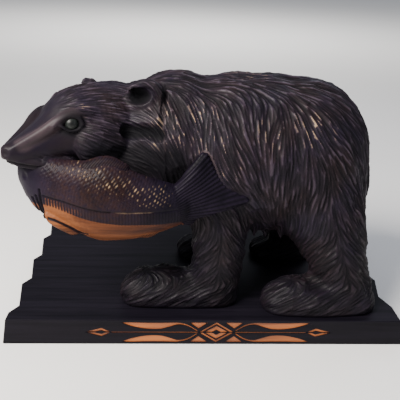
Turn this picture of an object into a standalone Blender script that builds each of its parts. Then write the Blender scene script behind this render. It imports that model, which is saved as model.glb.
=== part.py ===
"""A carved wooden bear that holds a salmon across its mouth, on a plinth with notched ends.

The bear and its salmon are one solid, carved from one block. Two glass eyes sit in drilled
sockets, and the plinth is a separate board. Units are metres, +Z is up, the bear faces -X
and turns its head towards -Y. The origin is the centre of the plinth's underside.
"""

import math

import bmesh
import bpy
import numpy as np
from mathutils import Euler, Matrix, Vector, kdtree

# Driving dimensions, in metres
PLINTH_LENGTH = 0.422
PLINTH_DEPTH = 0.240
PLINTH_HEIGHT = 0.0295
NOTCH_DEPTH = 0.0078
NOTCH_PITCH = 0.0572
LEFT_FIRST_NOTCH = 0.0134
LEFT_NOTCH_STEP = 0.0134
RIGHT_FIRST_NOTCH = 0.0273
RIGHT_NOTCH_STEP = 0.0219
SIDE_BEVEL = 0.0050
BEAR_HEIGHT = 0.2400
EYE_RADIUS = 0.0068
REST_GAP = 0.0003
SOCKET_GAP = 0.0003

# The ornament cut in the plinth's front face, in metres
CUT_DEPTH = 0.0008
ORNAMENT_OFFSET = 0.0105
CENTRE_LENGTH = 0.0366
CENTRE_HEIGHT = 0.0252
CORE_LENGTH = 0.0250
CORE_HEIGHT = 0.0164
LEFT_REACH = 0.1095
RIGHT_REACH = 0.0953
LINE_HEIGHT = 0.0014
TIP_LENGTH = 0.0270
TIP_PEAK = 0.0100
TIP_HEIGHT = 0.0104
RING_GAP = 0.0003
# Each leaf: distance from the middle, height over it and half its width, from the tip inwards
LEAF = [
    (0.0985, 0.0118, 0.0002),
    (0.0880, 0.0098, 0.0024),
    (0.0740, 0.0080, 0.0038),
    (0.0600, 0.0078, 0.0040),
    (0.0500, 0.0092, 0.0028),
    (0.0400, 0.0108, 0.0012),
    (0.0300, 0.0084, 0.0010),
    (0.0200, 0.0018, 0.0009),
]
# A wedge over the crossing of two leaves' ribbons: distance from the middle and height
WEDGE = [(0.0090, 0.0122), (0.0280, 0.0122), (0.0187, 0.0046)]

# The bear is drawn in millimetres at this height, above the plinth's top
DRAWN_HEIGHT = 240.0
UNIT = BEAR_HEIGHT / DRAWN_HEIGHT

# Surface quality, in drawn millimetres and triangles
BODY_VOXEL = 4.0
BODY_SMOOTHING = 14
FORM_VOXEL = 2.6
FORM_SMOOTHING = 4
BEAR_TRIANGLES = 7500

# Carved locks of fur, in drawn millimetres
LOCK_SPACING = 10.0
LOCK_LENGTH = 30.0
LOCK_WIDTH = 10.0
LOCK_DEPTH = 2.6
BODY_MIDDLE = -22.0

# The head: its centre, how it is turned, and its eyes in its own axes
HEAD_CENTRE = Vector((-102.0, -24.0, 186.0))
HEAD_YAW = math.radians(221)
HEAD_ROLL = math.radians(7)
EYE_PLACE = (66.0, 28.5, 8.0)
EYE_FACING = Vector((0.42, 0.86, 0.12)).normalized()
# Each ear: its side, its place in the head's axes and its radius
EARS = ((1, (-3, 54, 22), 21), (-1, (-6, -50, 23), 18))
# The edge of an eye's lids: back from the eye's centre, and up from it
UPPER_LID = ((9.5, -2), (8.2, 3.5), (3, 7.2), (-4, 7.4), (-11, 4), (-17, -1.5))
LOWER_LID = ((9.5, -2), (5.5, -6), (-2, -6.8), (-8, -3), (-12, 0.5))


def clear_scene():
    for old in list(bpy.data.objects):
        bpy.data.objects.remove(old, do_unlink=True)


def new_collection(name):
    made = bpy.data.collections.new(name)
    bpy.context.scene.collection.children.link(made)
    return made


def new_material(name, colour, roughness):
    made = bpy.data.materials.new(name)
    made.use_nodes = True
    shader = made.node_tree.nodes["Principled BSDF"]
    shader.inputs["Base Color"].default_value = (*colour, 1.0)
    shader.inputs["Roughness"].default_value = roughness
    shader.inputs["Metallic"].default_value = 0.0
    return made


def head_matrix():
    """From the head's own axes (x to the nose, y to its left ear, z up) to the drawing."""
    turn = Matrix.Rotation(HEAD_YAW, 4, "Z") @ Matrix.Rotation(HEAD_ROLL, 4, "X")
    return Matrix.Translation(HEAD_CENTRE) @ turn


def to_metres():
    """From the drawing in millimetres to its place on the plinth."""
    return Matrix.Translation((0, 0, PLINTH_HEIGHT + REST_GAP)) @ Matrix.Scale(UNIT, 4)


def unit_sphere():
    bm = bmesh.new()
    bmesh.ops.create_icosphere(bm, subdivisions=3, radius=1.0)
    points = np.array([v.co[:] for v in bm.verts])
    faces = np.array([[v.index for v in f.verts] for f in bm.faces])
    bm.free()
    return points, faces


class Masses:
    """Overlapping rounded masses, in drawn millimetres."""

    def __init__(self):
        self.points, self.faces = unit_sphere()
        self.places = []

    def blob(self, centre, radii, base=None):
        """An ellipsoid in the axes of base."""
        matrix = Matrix.Translation(Vector(centre)) @ Matrix.Diagonal((*radii, 1.0))
        if base:
            matrix = base @ matrix
        self.places.append(np.array(matrix))

    def limb(self, rows, base=None, per_span=6):
        """A rounded limb through rows of x, y, z and the three radii there."""
        for row in smooth_rows(rows, per_span):
            self.blob(row[:3], np.maximum(row[3:], 0.5), base)

    def mesh(self, name):
        points = []
        faces = []
        for i, matrix in enumerate(self.places):
            points.append(self.points @ matrix[:3, :3].T + matrix[:3, 3])
            faces.append(self.faces + i * len(self.points))
        made = bpy.data.meshes.new(name)
        made.from_pydata(np.vstack(points).tolist(), [], np.vstack(faces).tolist())
        return made


def smooth_rows(rows, per_span):
    """Rows of numbers joined by a Catmull-Rom curve."""
    rows = np.array(rows, float)
    ends = np.vstack([2 * rows[0] - rows[1], rows, 2 * rows[-1] - rows[-2]])
    made = []
    for i in range(len(rows) - 1):
        a, b, c, d = ends[i : i + 4]
        for t in np.linspace(0, 1, per_span, endpoint=False):
            bend = (2 * a - 5 * b + 4 * c - d) * t**2 + (3 * b - a - 3 * c + d) * t**3
            made.append(0.5 * (2 * b + (c - a) * t + bend))
    made.append(rows[-1])
    return np.array(made)


# Each leg: rows of x, y, z and its radii from the body down, then the paw from heel to toes
NEAR_FRONT = [
    (0, -56, 140, 50, 38, 50),
    (10, -70, 100, 34, 31, 34),
    (13, -75, 60, 29, 27, 30),
    (10, -76, 24, 29, 26, 22),
]
NEAR_FRONT_PAW = [
    (14, -76, 9, 24, 25, 20),
    (-20, -75, 10, 26, 27, 24),
    (-52, -74, 12, 25, 28, 26),
    (-74, -74, 8, 20, 26, 21),
]
NEAR_REAR = [
    (114, -48, 122, 54, 44, 62),
    (132, -66, 82, 41, 35, 40),
    (142, -77, 50, 33, 30, 30),
    (153, -82, 22, 30, 28, 22),
]
NEAR_REAR_PAW = [
    (162, -87, 7, 26, 27, 18),
    (130, -89, 8, 26, 28, 21),
    (100, -88, 10, 25, 29, 24),
    (78, -88, 6, 20, 26, 18),
]
FAR_FRONT = [
    (0, 18, 140, 48, 38, 50),
    (18, 26, 100, 31, 30, 34),
    (24, 29, 60, 25, 26, 30),
    (26, 30, 24, 25, 25, 22),
]
FAR_FRONT_PAW = [
    (30, 30, 8, 22, 24, 17),
    (6, 30, 8, 24, 25, 18),
    (-12, 30, 7, 20, 24, 17),
]
FAR_REAR = [
    (110, 10, 122, 54, 42, 62),
    (110, 21, 82, 37, 33, 40),
    (106, 27, 50, 27, 28, 30),
    (112, 28, 22, 25, 26, 22),
]
FAR_REAR_PAW = [
    (118, 28, 8, 24, 25, 16),
    (94, 28, 8, 24, 26, 17),
    (80, 28, 7, 20, 24, 15),
]
LEGS = (
    NEAR_FRONT,
    NEAR_FRONT_PAW,
    NEAR_REAR,
    NEAR_REAR_PAW,
    FAR_FRONT,
    FAR_FRONT_PAW,
    FAR_REAR,
    FAR_REAR_PAW,
)

# The salmon's rows of x, y, z and its radii, from its head to its tail
SALMON = [
    (-181, -85, 147, 8, 8, 18),
    (-168, -92, 139.5, 12, 13, 29),
    (-145, -99, 132.5, 14, 17, 33.5),
    (-113, -106, 127, 16, 21, 40),
    (-92, -108, 126, 16, 20.5, 39.5),
    (-70, -108, 122.5, 16, 18.5, 33),
    (-48, -107, 122.5, 14, 16, 26),
    (-30, -105, 123, 12, 13, 19.5),
]
# The rays of its tail: x and z of the tip, and the height of the root
SALMON_TAIL = (
    (-8, 170, 138),
    (-2, 159, 132),
    (4, 148, 127),
    (11, 139, 122),
    (22, 132, 117),
    (34, 126, 111),
)
SALMON_FINS = (
    [(-116, -106, 162, 8, 8, 6), (-100, -105, 166, 9, 7, 6), (-86, -106, 160, 8, 7, 6)],
    [(-158, -107, 111, 5, 5, 5), (-146, -112, 105, 8, 4.5, 4.5), (-133, -114, 98, 7, 4, 4)],
    [(-76, -110, 100, 7, 8, 7), (-64, -110, 96, 9, 6, 6), (-54, -109, 101, 7, 6, 6)],
)

# Pointed tufts behind the legs: x, y, z of the root, how far they stand out, and their drop
LEG_TUFTS = (
    (34, -76, 94, 14, 22),
    (37, -76, 72, 13, 20),
    (36, -76, 50, 12, 18),
    (164, -80, 100, 10, 20),
    (168, -82, 74, 11, 20),
    (172, -84, 50, 11, 20),
    (174, -84, 32, 14, 18),
    (46, 30, 70, 10, 18),
    (46, 30, 48, 10, 16),
    (140, 26, 74, 10, 18),
    (134, 28, 48, 9, 16),
)
BELLY_TUFTS = ((52, -62, 76), (66, -52, 71), (82, -60, 73), (64, -8, 71), (86, -10, 69))


def body_masses():
    masses = Masses()
    masses.blob((-34, -20, 160), (67, 73, 80))
    masses.blob((28, -20, 153), (94, 82, 85.5))
    masses.blob((98, -20, 151), (80, 78, 85.5))
    masses.blob((60, -20, 151), (102, 79, 88))
    masses.blob((118, -20, 126), (63, 72, 76))
    masses.blob((-62, -26, 167), (57, 57, 61))
    masses.blob((-78, -24, 180), (48, 50, 46))
    masses.blob((-64, -60, 146), (44, 32, 38))
    masses.blob((-104, -60, 146), (38, 34, 24))
    for rows in LEGS:
        masses.limb(rows)
    return masses


def head_masses(masses):
    skull = head_matrix()
    masses.limb(
        [
            (-8, 0, -6, 20, 53, 46),
            (20, 0, -5, 18, 51, 46),
            (46, 0, -4, 15, 43, 42.5),
            (62, 0, -5, 13, 35, 36),
            (74, 0, -9, 10, 28, 28),
            (86, 0, -12, 10, 22.5, 22.5),
            (100, 0, -14, 9, 17, 16.5),
            (112, 0, -15, 8, 12.5, 12),
            (119, 0, -14, 7, 9.5, 9),
        ],
        skull,
    )
    jaw = [(0, 0, -44, 34, 32, 24), (34, 0, -56, 26, 22, 16), (62, 0, -62, 18, 15, 11)]
    masses.limb(jaw, skull)
    for side in (-1, 1):
        ridge = [
            (46, 33, 15, 11, 6, 4),
            (60, 29, 17, 9, 6, 4.5),
            (74, 23, 12, 8, 6.5, 5.5),
            (88, 16.5, 2.5, 8, 6, 6),
            (114, 7, -9.5, 6, 4.5, 4.5),
        ]
        lip = [(72, 19, -32, 12, 11, 9), (94, 12, -27, 10, 8, 7), (110, 6, -23, 8, 6, 5)]
        for rows in (ridge, lip):
            sided = [(x, side * y, z, a, b, c) for x, y, z, a, b, c in rows]
            masses.limb(sided, skull, per_span=10)
        masses.blob((28, side * 33, -14), (40, 20, 30), skull)
    for side, place, radius in EARS:
        ear(masses, side, place, radius)


def ear_axes(side, place):
    """An ear's own axes: x down, y back, z out of the ear."""
    turn = Matrix.Rotation(math.radians(side * 44), 4, "Z") @ Matrix.Rotation(math.radians(84), 4, "Y")
    return head_matrix() @ Matrix.Translation(Vector(place)) @ turn


def ear(masses, side, place, radius):
    """A round ear with a rim over and behind it."""
    axes = ear_axes(side, place)
    masses.blob((0, 0, -3), (radius, radius, radius * 0.44), axes)
    for step in range(37):
        angle = math.radians(step * 5 - 50)
        thick = radius * (0.14 + 0.10 * math.sin(math.pi * step / 36))
        spot = (-0.82 * radius * math.cos(angle), side * 0.82 * radius * math.sin(angle), 3)
        masses.blob(spot, (thick, thick, radius * 0.28), axes)


def eyelids(masses):
    """A pointed lid over and under each eye."""
    skull = head_matrix()
    for side in (-1, 1):
        facing = Vector((EYE_FACING.x, side * EYE_FACING.y, EYE_FACING.z))
        back = facing.cross(Vector((0, 0, 1))).normalized() * -side
        above = Vector((0, 0, 1)) - facing * facing.z
        place = Vector((EYE_PLACE[0], side * EYE_PLACE[1], EYE_PLACE[2])) + facing * 4.2
        for edge, thick in ((UPPER_LID, 2.3), (LOWER_LID, 1.7)):
            for a, b in smooth_rows(edge, 6):
                masses.blob(place + back * a + above * b, (thick, thick, thick), skull)


def tail_rays():
    """The rays of the salmon's tail, which ends in the fur of the shoulder."""
    rays = []
    for x, z, root_z in smooth_rows(SALMON_TAIL, 3):
        root = (-32, -106, root_z, 8, 9, 6)
        middle = (0.5 * (x - 32), -104, 0.5 * (root_z + z), 8, 7.5, 5)
        rays.append([root, middle, (x, -96, z, 5, 5, 5)])
    return rays


def salmon_masses(masses):
    masses.limb(SALMON, per_span=7)
    for ray in tail_rays():
        masses.limb(ray)
    for fin in SALMON_FINS:
        masses.limb(fin, per_span=4)


def tuft_masses(masses):
    for x, y, z, out, drop in LEG_TUFTS:
        root = (x - 12, y, z + 8, 10, 12, 8)
        middle = (x - 4, y, z, 6, 8, 6)
        tip = (x + out - 10, y, z - drop + 4, 2, 3, 3)
        masses.limb([root, middle, tip], per_span=4)
    for x, y, z in BELLY_TUFTS:
        masses.limb([(x, y, z + 14, 12, 12, 8), (x, y, z, 3, 4, 8)], per_span=4)


def applied(shape):
    """The shape with the mesh that its modifiers make."""
    graph = bpy.context.evaluated_depsgraph_get()
    made = bpy.data.meshes.new_from_object(shape.evaluated_get(graph))
    shape.modifiers.clear()
    shape.data = made
    return shape


def fused(mesh, name, voxel, smoothing):
    """One skin round everything in the mesh, smoothed."""
    shape = bpy.data.objects.new(name, mesh)
    bpy.context.scene.collection.objects.link(shape)
    fuse = shape.modifiers.new("fuse", "REMESH")
    fuse.mode = "VOXEL"
    fuse.voxel_size = voxel
    soften = shape.modifiers.new("soften", "SMOOTH")
    soften.factor = 0.5
    soften.iterations = smoothing
    return applied(shape)


def bear_form():
    """The bear and its salmon without fur, in drawn millimetres."""
    body = fused(body_masses().mesh("body"), "body", BODY_VOXEL, BODY_SMOOTHING)
    details = Masses()
    head_masses(details)
    eyelids(details)
    salmon_masses(details)
    tuft_masses(details)
    joined = bmesh.new()
    joined.from_mesh(body.data)
    joined.from_mesh(details.mesh("details"))
    mesh = bpy.data.meshes.new("bear")
    joined.to_mesh(mesh)
    joined.free()
    bpy.data.objects.remove(body, do_unlink=True)
    return fused(mesh, "bear", FORM_VOXEL, FORM_SMOOTHING)


def read_points(mesh):
    points = np.empty(len(mesh.vertices) * 3)
    normals = np.empty(len(mesh.vertices) * 3)
    mesh.vertices.foreach_get("co", points)
    mesh.vertex_normals.foreach_get("vector", normals)
    return points.reshape(-1, 3), normals.reshape(-1, 3)


def write_points(mesh, points):
    mesh.vertices.foreach_set("co", points.reshape(-1))
    mesh.update()


def to_path(points, path):
    """Each point's distance to a path of straight pieces."""
    best = np.full(len(points), 1e9)
    for a, b in zip(path[:-1], path[1:]):
        along = b - a
        share = np.clip((points - a) @ along / (along @ along), 0, 1)
        gap = points - a - share[:, None] * along
        best = np.minimum(best, np.linalg.norm(gap, axis=1))
    return best


def groove(points, path, width, depth):
    """How deep a groove along the path cuts at each point."""
    gap = to_path(points, smooth_rows(path, 5))
    return depth * np.clip(1 - (gap / (width / 2)) ** 2, 0, 1)


def dimple(points, centre, radius, depth):
    gap = np.linalg.norm(points - np.array(centre), axis=1)
    return depth * np.clip(1 - (gap / radius) ** 2, 0, 1) ** 1.5


def inside_rows(points, rows, swell):
    """Whether each point lies in a limb's masses, made larger by swell."""
    found = np.zeros(len(points), bool)
    for row in smooth_rows(rows, 7):
        radii = row[3:] + swell
        found |= (((points - row[:3]) / radii) ** 2).sum(axis=1) < 1
    return found


def on_salmon(points):
    found = inside_rows(points, SALMON, 1.5)
    for ray in tail_rays():
        found |= inside_rows(points, ray, 1.5)
    for fin in SALMON_FINS:
        found |= inside_rows(points, fin, 1.5)
    return found


def in_head(points):
    """Points in the head's own axes."""
    matrix = np.array(head_matrix().inverted())
    return points @ matrix[:3, :3].T + matrix[:3, 3]


# Where the fur lies on the viewer's side: a point on the body, then the fur's direction there
FUR_GUIDES = (
    (-55, -80, 200, 0.5, 0, -1.0),
    (-45, -80, 150, 0.3, 0, -1.0),
    (-5, -90, 200, 0.4, 0, -1.0),
    (0, -95, 150, 0.15, 0, -1.0),
    (0, -95, 110, -0.1, 0, -1.0),
    (50, -90, 210, 0.8, 0, -0.6),
    (50, -95, 160, 0.45, 0, -0.9),
    (50, -90, 110, 0.5, 0, -0.9),
    (100, -85, 210, 0.9, 0, -0.5),
    (100, -95, 160, 0.35, 0, -0.9),
    (110, -90, 110, 0.0, 0, -1.0),
    (150, -75, 190, 0.8, 0, -0.8),
    (160, -80, 140, 0.3, 0, -1.0),
    (155, -80, 100, 0.1, 0, -1.0),
    (-60, -22, 238, 1.0, 0, 0.0),
    (0, -22, 238, 1.0, 0, 0.0),
    (60, -22, 238, 1.0, 0, 0.0),
    (120, -22, 230, 1.0, 0, -0.3),
    (170, -22, 190, 0.4, 0, -1.0),
    (185, -22, 130, 0.0, 0, -1.0),
    (-90, -22, 110, 0.3, 0, -1.0),
    (60, -22, 70, 1.0, 0, -0.2),
)


def fur_directions(points, normals):
    """The direction in which the fur lies at each point, along the surface."""
    near = np.array(FUR_GUIDES, float)
    far = near.copy()
    far[:, 1] = 2 * BODY_MIDDLE - far[:, 1]
    guides = np.vstack([near, far])
    flow = np.zeros_like(points)
    for row in guides:
        gap = ((points - row[:3]) ** 2).sum(axis=1)
        flow += row[3:] / (gap[:, None] + 200.0) ** 1.5
    flow /= np.linalg.norm(flow, axis=1)[:, None]
    for rows in (NEAR_FRONT, NEAR_REAR, FAR_FRONT, FAR_REAR):
        axis = smooth_rows(rows, 6)
        outward = -1.0 if rows in (NEAR_FRONT, NEAR_REAR) else 1.0
        row = axis[np.abs(points[:, 2][:, None] - axis[:, 2]).argmin(axis=1)]
        dx = points[:, 0] - row[:, 0]
        dy = (points[:, 1] - row[:, 1]) * outward
        gap = np.hypot(dx / row[:, 3], dy / row[:, 4])
        share = np.clip(1.6 - gap, 0, 0.4) / 0.4 * np.clip((105 - points[:, 2]) / 30, 0, 1)
        share *= (np.sign(points[:, 1] - BODY_MIDDLE) == outward) | (gap < 1.15)
        spread = np.clip(dx / 8, -1, 1) * 0.8
        angle = np.arctan2(dx, dy)
        herring = np.stack([spread * np.cos(angle), -np.abs(spread) * np.abs(np.sin(angle)) * outward], axis=1)
        herring = np.column_stack([herring, np.full(len(points), -1.0)])
        herring /= np.linalg.norm(herring, axis=1)[:, None]
        flow = flow * (1 - share[:, None]) + herring * share[:, None]
    local = in_head(points)
    turn = np.array(head_matrix().to_3x3())
    back = np.column_stack(
        [
            np.full(len(points), -1.0),
            np.clip(local[:, 1] / 60, -0.5, 0.5),
            np.clip((local[:, 2] - 30) / 60, -0.7, 0),
        ]
    )
    back = back @ turn.T
    share = np.clip((local[:, 0] + 10) / 25, 0, 1) * np.clip((local[:, 2] + 60) / 20, 0, 1)
    flow = flow * (1 - share[:, None]) + back * share[:, None]
    paw = np.clip((34 - points[:, 2]) / 12, 0, 1)
    flow = flow * (1 - paw[:, None]) + np.array((-0.8, 0, -0.5)) * paw[:, None]
    flow -= (flow * normals).sum(axis=1)[:, None] * normals
    return flow / np.maximum(np.linalg.norm(flow, axis=1), 1e-6)[:, None]


def fur_share(points):
    """How much fur is carved at each point: none on the snout, eyes, ears and salmon."""
    local = in_head(points)
    share = np.ones(len(points))
    snout = np.clip((70 - local[:, 0]) / 12, 0, 1)
    low = local[:, 2] < -42
    share *= np.where(low, 1, snout)
    for side in (-1, 1):
        eye = np.array((EYE_PLACE[0], side * EYE_PLACE[1], EYE_PLACE[2]))
        share *= np.clip(np.linalg.norm(local - eye, axis=1) / 5 - 2.2, 0, 1)
        ear_place = np.array((-6, side * 54, 22))
        share *= np.clip(np.linalg.norm(local - ear_place, axis=1) / 5 - 3.6, 0, 1)
    share[on_salmon(points)] = 0
    share *= np.clip(points[:, 2] / 5 - 0.3, 0, 1)
    return share


def spread_seeds(points, spacing, seed):
    """Indices of points that stand at least spacing apart."""
    order = np.random.default_rng(seed).permutation(len(points))
    cells = {}
    kept = []
    for i in order:
        p = points[i]
        home = tuple(int(v // spacing) for v in p)
        clear = True
        for dx in (-1, 0, 1):
            for dy in (-1, 0, 1):
                for dz in (-1, 0, 1):
                    for q in cells.get((home[0] + dx, home[1] + dy, home[2] + dz), ()):
                        if ((p - q) ** 2).sum() < spacing**2:
                            clear = False
        if clear:
            cells.setdefault(home, []).append(p)
            kept.append(i)
    return kept


def lock_depths(points, normals, flow, share):
    """How deep the carved locks cut at each point."""
    tree = kdtree.KDTree(len(points))
    for i, p in enumerate(points):
        tree.insert(p, i)
    tree.balance()
    depth = np.zeros(len(points))
    for i in spread_seeds(points, LOCK_SPACING, 7):
        if share[i] < 0.2:
            continue
        near = np.array([j for _, j, _ in tree.find_range(points[i], LOCK_LENGTH / 2)])
        gap = points[near] - points[i]
        across = np.cross(normals[i], flow[i])
        u = gap @ flow[i] / LOCK_LENGTH + 0.5
        v = gap @ across / (LOCK_WIDTH / 2)
        cut = np.clip(1 - v**2, 0, 1) * np.sqrt(np.clip(4 * u * (1 - u), 0, 1))
        cut *= normals[near] @ normals[i] > 0.3
        depth[near] = np.maximum(depth[near], cut * LOCK_DEPTH)
    return depth * share


def head_path(rows):
    """A path given in the head's axes, in the drawing."""
    return [(head_matrix() @ Vector(row))[:] for row in rows]


def hollow(points, axes, centre, radii, depth):
    """How deep an oval hollow, given in the axes, cuts at each point."""
    matrix = np.array(axes.inverted())
    gap = (points @ matrix[:3, :3].T + matrix[:3, 3] - centre) / radii
    return depth * np.clip(1 - (gap**2).sum(axis=1), 0, 1)


def carve_face(points):
    """How deep the nostrils, the mouth, the ears and the folds behind them cut at each point."""
    depth = np.zeros(len(points))
    for side, place, radius in EARS:
        pit = np.array((-0.22, side * -0.28, 0.20)) * radius
        ear_hollow = hollow(points, ear_axes(side, place), pit, np.array((0.42, 0.66, 0.7)) * radius, 10)
        depth = np.maximum(depth, ear_hollow)
        nostril = head_path([(123, side * 4.5, -13)])[0]
        depth += dimple(points, nostril, 4.5, 2.2)
        lip = head_path([(126, 0, -21), (116, side * 9, -25), (98, side * 17, -30), (82, side * 27, -34)])
        depth = np.maximum(depth, groove(points, lip, 6, 2.6))
        under_ear = [(20, 50, -1), (10, 60, -1), (4, 68, -1), (0, 77, -4)]
        behind_ear = [(-22, 58, 37), (-13, 72, 25), (-6, 76, 10), (0, 79, -8), (1, 82, -32)]
        for fold, width, deep in ((under_ear, 13, 4.5), (behind_ear, 7, 3.0)):
            path = head_path([(x, side * y, z) for x, y, z in fold])
            depth = np.maximum(depth, groove(points, path, width, deep))
    return depth


# The edges of the gill cover, from above, as x and z in drawn millimetres
GILLS = (
    ((-164, 138), (-163, 124), (-161, 111), (-157, 103)),
    ((-172, 128), (-169.5, 119.5), (-166, 108), (-162, 102)),
    ((-179, 124), (-176, 118.5), (-172, 111), (-168, 105)),
)


def carve_salmon(points):
    """How deep the gill cover, the side line and the tail's rays cut at each point."""
    side_view = points * (1, 0, 1)
    depth = np.zeros(len(points))
    for edge in GILLS:
        gill = [(x, 0, z) for x, z in edge]
        depth = np.maximum(depth, groove(side_view, gill, 4.5, 2.0))
    depth *= on_salmon(points)
    eye = dimple(points, (-177, -97, 148), 5.5, 2.0) - dimple(points, (-177, -97, 148), 2.8, 1.6)
    depth = np.maximum(depth, eye)
    line = [(-150, -116, 131), (-125, -128, 126), (-100, -130, 123), (-60, -126, 123), (-30, -117, 122)]
    depth = np.maximum(depth, groove(points, line, 5, 1.5))
    for x, z, root_z in smooth_rows(SALMON_TAIL, 2)[1:-1]:
        ray = [(-28, -114, root_z), (0.5 * (x - 30), -111, 0.5 * (root_z + z)), (x - 2, -101, z)]
        depth = np.maximum(depth, groove(points, ray, 3.5, 1.6))
    overlap = [(-9, -101, 173), (-1, -103, 159), (6, -104, 147), (13, -104, 138), (24, -102, 131), (38, -95, 122)]
    return np.maximum(depth, groove(points, overlap, 6, 2.4))


def carve(form):
    """Fur locks and features cut into the form's skin."""
    points, normals = read_points(form.data)
    share = fur_share(points)
    flow = fur_directions(points, normals)
    depth = lock_depths(points, normals, flow, share) - 0.5 * LOCK_DEPTH * share
    depth += carve_face(points)
    depth += carve_salmon(points)
    write_points(form.data, points - normals * depth[:, None])


def lighten(form, triangles):
    """The form with about this many triangles."""
    thin = form.modifiers.new("thin", "DECIMATE")
    thin.ratio = triangles / sum(len(p.vertices) - 2 for p in form.data.polygons)
    return applied(form)


def stand_flat(form):
    """The form cut level at the ground."""
    bm = bmesh.new()
    bm.from_mesh(form.data)
    everything = list(bm.verts) + list(bm.edges) + list(bm.faces)
    cut = bmesh.ops.bisect_plane(
        bm, geom=everything, plane_co=(0, 0, 0), plane_no=(0, 0, 1), dist=0.02, clear_inner=True
    )
    rim = [g for g in cut["geom_cut"] if isinstance(g, bmesh.types.BMEdge)]
    bmesh.ops.holes_fill(bm, edges=rim, sides=0)
    bmesh.ops.triangulate(bm, faces=list(bm.faces))
    bmesh.ops.recalc_face_normals(bm, faces=list(bm.faces))
    bm.to_mesh(form.data)
    bm.free()


def eye_centre(side):
    place = head_matrix() @ Vector((EYE_PLACE[0], side * EYE_PLACE[1], EYE_PLACE[2]))
    return to_metres() @ place


def ball(name, centre, radius):
    bm = bmesh.new()
    bmesh.ops.create_icosphere(bm, subdivisions=3, radius=radius, matrix=Matrix.Translation(centre))
    mesh = bpy.data.meshes.new(name)
    bm.to_mesh(mesh)
    bm.free()
    return bpy.data.objects.new(name, mesh)


def prism(bm, outline, front, back):
    """A straight prism from an outline of x, z between two depths in y."""
    near = [bm.verts.new((x, front, z)) for x, z in outline]
    far = [bm.verts.new((x, back, z)) for x, z in outline]
    bm.faces.new(near)
    bm.faces.new(far[::-1])
    count = len(outline)
    for i in range(count):
        j = (i + 1) % count
        bm.faces.new((near[j], near[i], far[i], far[j]))


def side_line(first, step):
    """The notched edge of the plinth: distance from the front, and how far it lies in."""
    corners = []
    place = first - NOTCH_PITCH
    while place < PLINTH_DEPTH + NOTCH_PITCH:
        corners.append((place, 0.0))
        corners.append((place + step, NOTCH_DEPTH))
        place += NOTCH_PITCH
    inside = [c for c in corners if first - 0.001 < c[0] < PLINTH_DEPTH - 0.001]
    places = [c[0] for c in corners]
    insets = [c[1] for c in corners]
    last = float(np.interp(PLINTH_DEPTH, places, insets))
    return [(0.0, 0.0)] + inside + [(PLINTH_DEPTH, last)]


def plinth():
    half = PLINTH_LENGTH / 2
    front = -PLINTH_DEPTH / 2
    left = [(-half + inset, front + away) for away, inset in side_line(LEFT_FIRST_NOTCH, LEFT_NOTCH_STEP)]
    right = [(half - inset, front + away) for away, inset in side_line(RIGHT_FIRST_NOTCH, RIGHT_NOTCH_STEP)]
    outline = right + left[::-1]
    bm = bmesh.new()
    low = [bm.verts.new((x, y, 0)) for x, y in outline]
    high = []
    for x, y in outline:
        inset = -SIDE_BEVEL if x > 0 else SIDE_BEVEL
        high.append(bm.verts.new((x + inset, y, PLINTH_HEIGHT)))
    bm.faces.new(low[::-1])
    bm.faces.new(high)
    for i in range(len(outline)):
        j = (i + 1) % len(outline)
        bm.faces.new((low[i], low[j], high[j], high[i]))
    bmesh.ops.recalc_face_normals(bm, faces=list(bm.faces))
    mesh = bpy.data.meshes.new("base")
    bm.to_mesh(mesh)
    bm.free()
    return bpy.data.objects.new("base", mesh)


def ring(low, peak, high, height, core):
    """A lozenge with a smaller one left standing in it, as an upper and a lower cut."""
    halves = []
    for rise in (-1, 1):
        gap = RING_GAP * rise
        outer = [(low, gap), (peak, rise * height / 2), (high, gap)]
        inner = [(peak + core * (x - peak), core * z) for x, z in outer[::-1]]
        inner[0] = (inner[0][0], gap)
        inner[-1] = (inner[-1][0], gap)
        halves.append(outer + inner)
    return halves


def leaf(side, rise):
    """A leaf along the edge that narrows to a ribbon and runs to the centre."""
    rows = smooth_rows(LEAF, 3)
    outer = [(side * x, rise * (z + thick)) for x, z, thick in rows]
    inner = [(side * x, rise * (z - thick)) for x, z, thick in rows[::-1]]
    return outer + inner


def ornament():
    """The outlines cut in the front face: ribbons with leaves, lines and lozenges."""
    shapes = ring(-CENTRE_LENGTH / 2, 0, CENTRE_LENGTH / 2, CENTRE_HEIGHT, 0.79)
    shapes += ring(-CORE_LENGTH / 2, 0, CORE_LENGTH / 2, CORE_HEIGHT, 0.36)
    for side, reach in ((-1, LEFT_REACH), (1, RIGHT_REACH)):
        for rise in (-1, 1):
            shapes.append(leaf(side, rise))
            shapes.append([(side * x, rise * z) for x, z in WEDGE])
        near = side * (CENTRE_LENGTH / 2 + 0.0015)
        far = side * (reach - RING_GAP)
        half = LINE_HEIGHT / 2
        shapes.append([(near, -half), (far, -half), (far, half), (near, half)])
        shapes += ring(side * reach, side * (reach + TIP_PEAK), side * (reach + TIP_LENGTH), TIP_HEIGHT, 0.42)
    return shapes


def cut_with(target, cutter):
    cut = target.modifiers.new("cut", "BOOLEAN")
    cut.operation = "DIFFERENCE"
    cut.solver = "EXACT"
    cut.object = cutter
    return applied(target)


def ornament_cutter():
    bm = bmesh.new()
    front = -PLINTH_DEPTH / 2
    for outline in ornament():
        placed = [(x + ORNAMENT_OFFSET, z + PLINTH_HEIGHT / 2) for x, z in outline]
        prism(bm, placed, front - 0.004, front + CUT_DEPTH)
    bmesh.ops.recalc_face_normals(bm, faces=list(bm.faces))
    mesh = bpy.data.meshes.new("ornament_cutter")
    bm.to_mesh(mesh)
    bm.free()
    return bpy.data.objects.new("ornament_cutter", mesh)


def place_cutter(cutter, cutters):
    cutters.objects.link(cutter)
    cutter.hide_render = True
    cutter.display_type = "WIRE"
    return cutter


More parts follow.
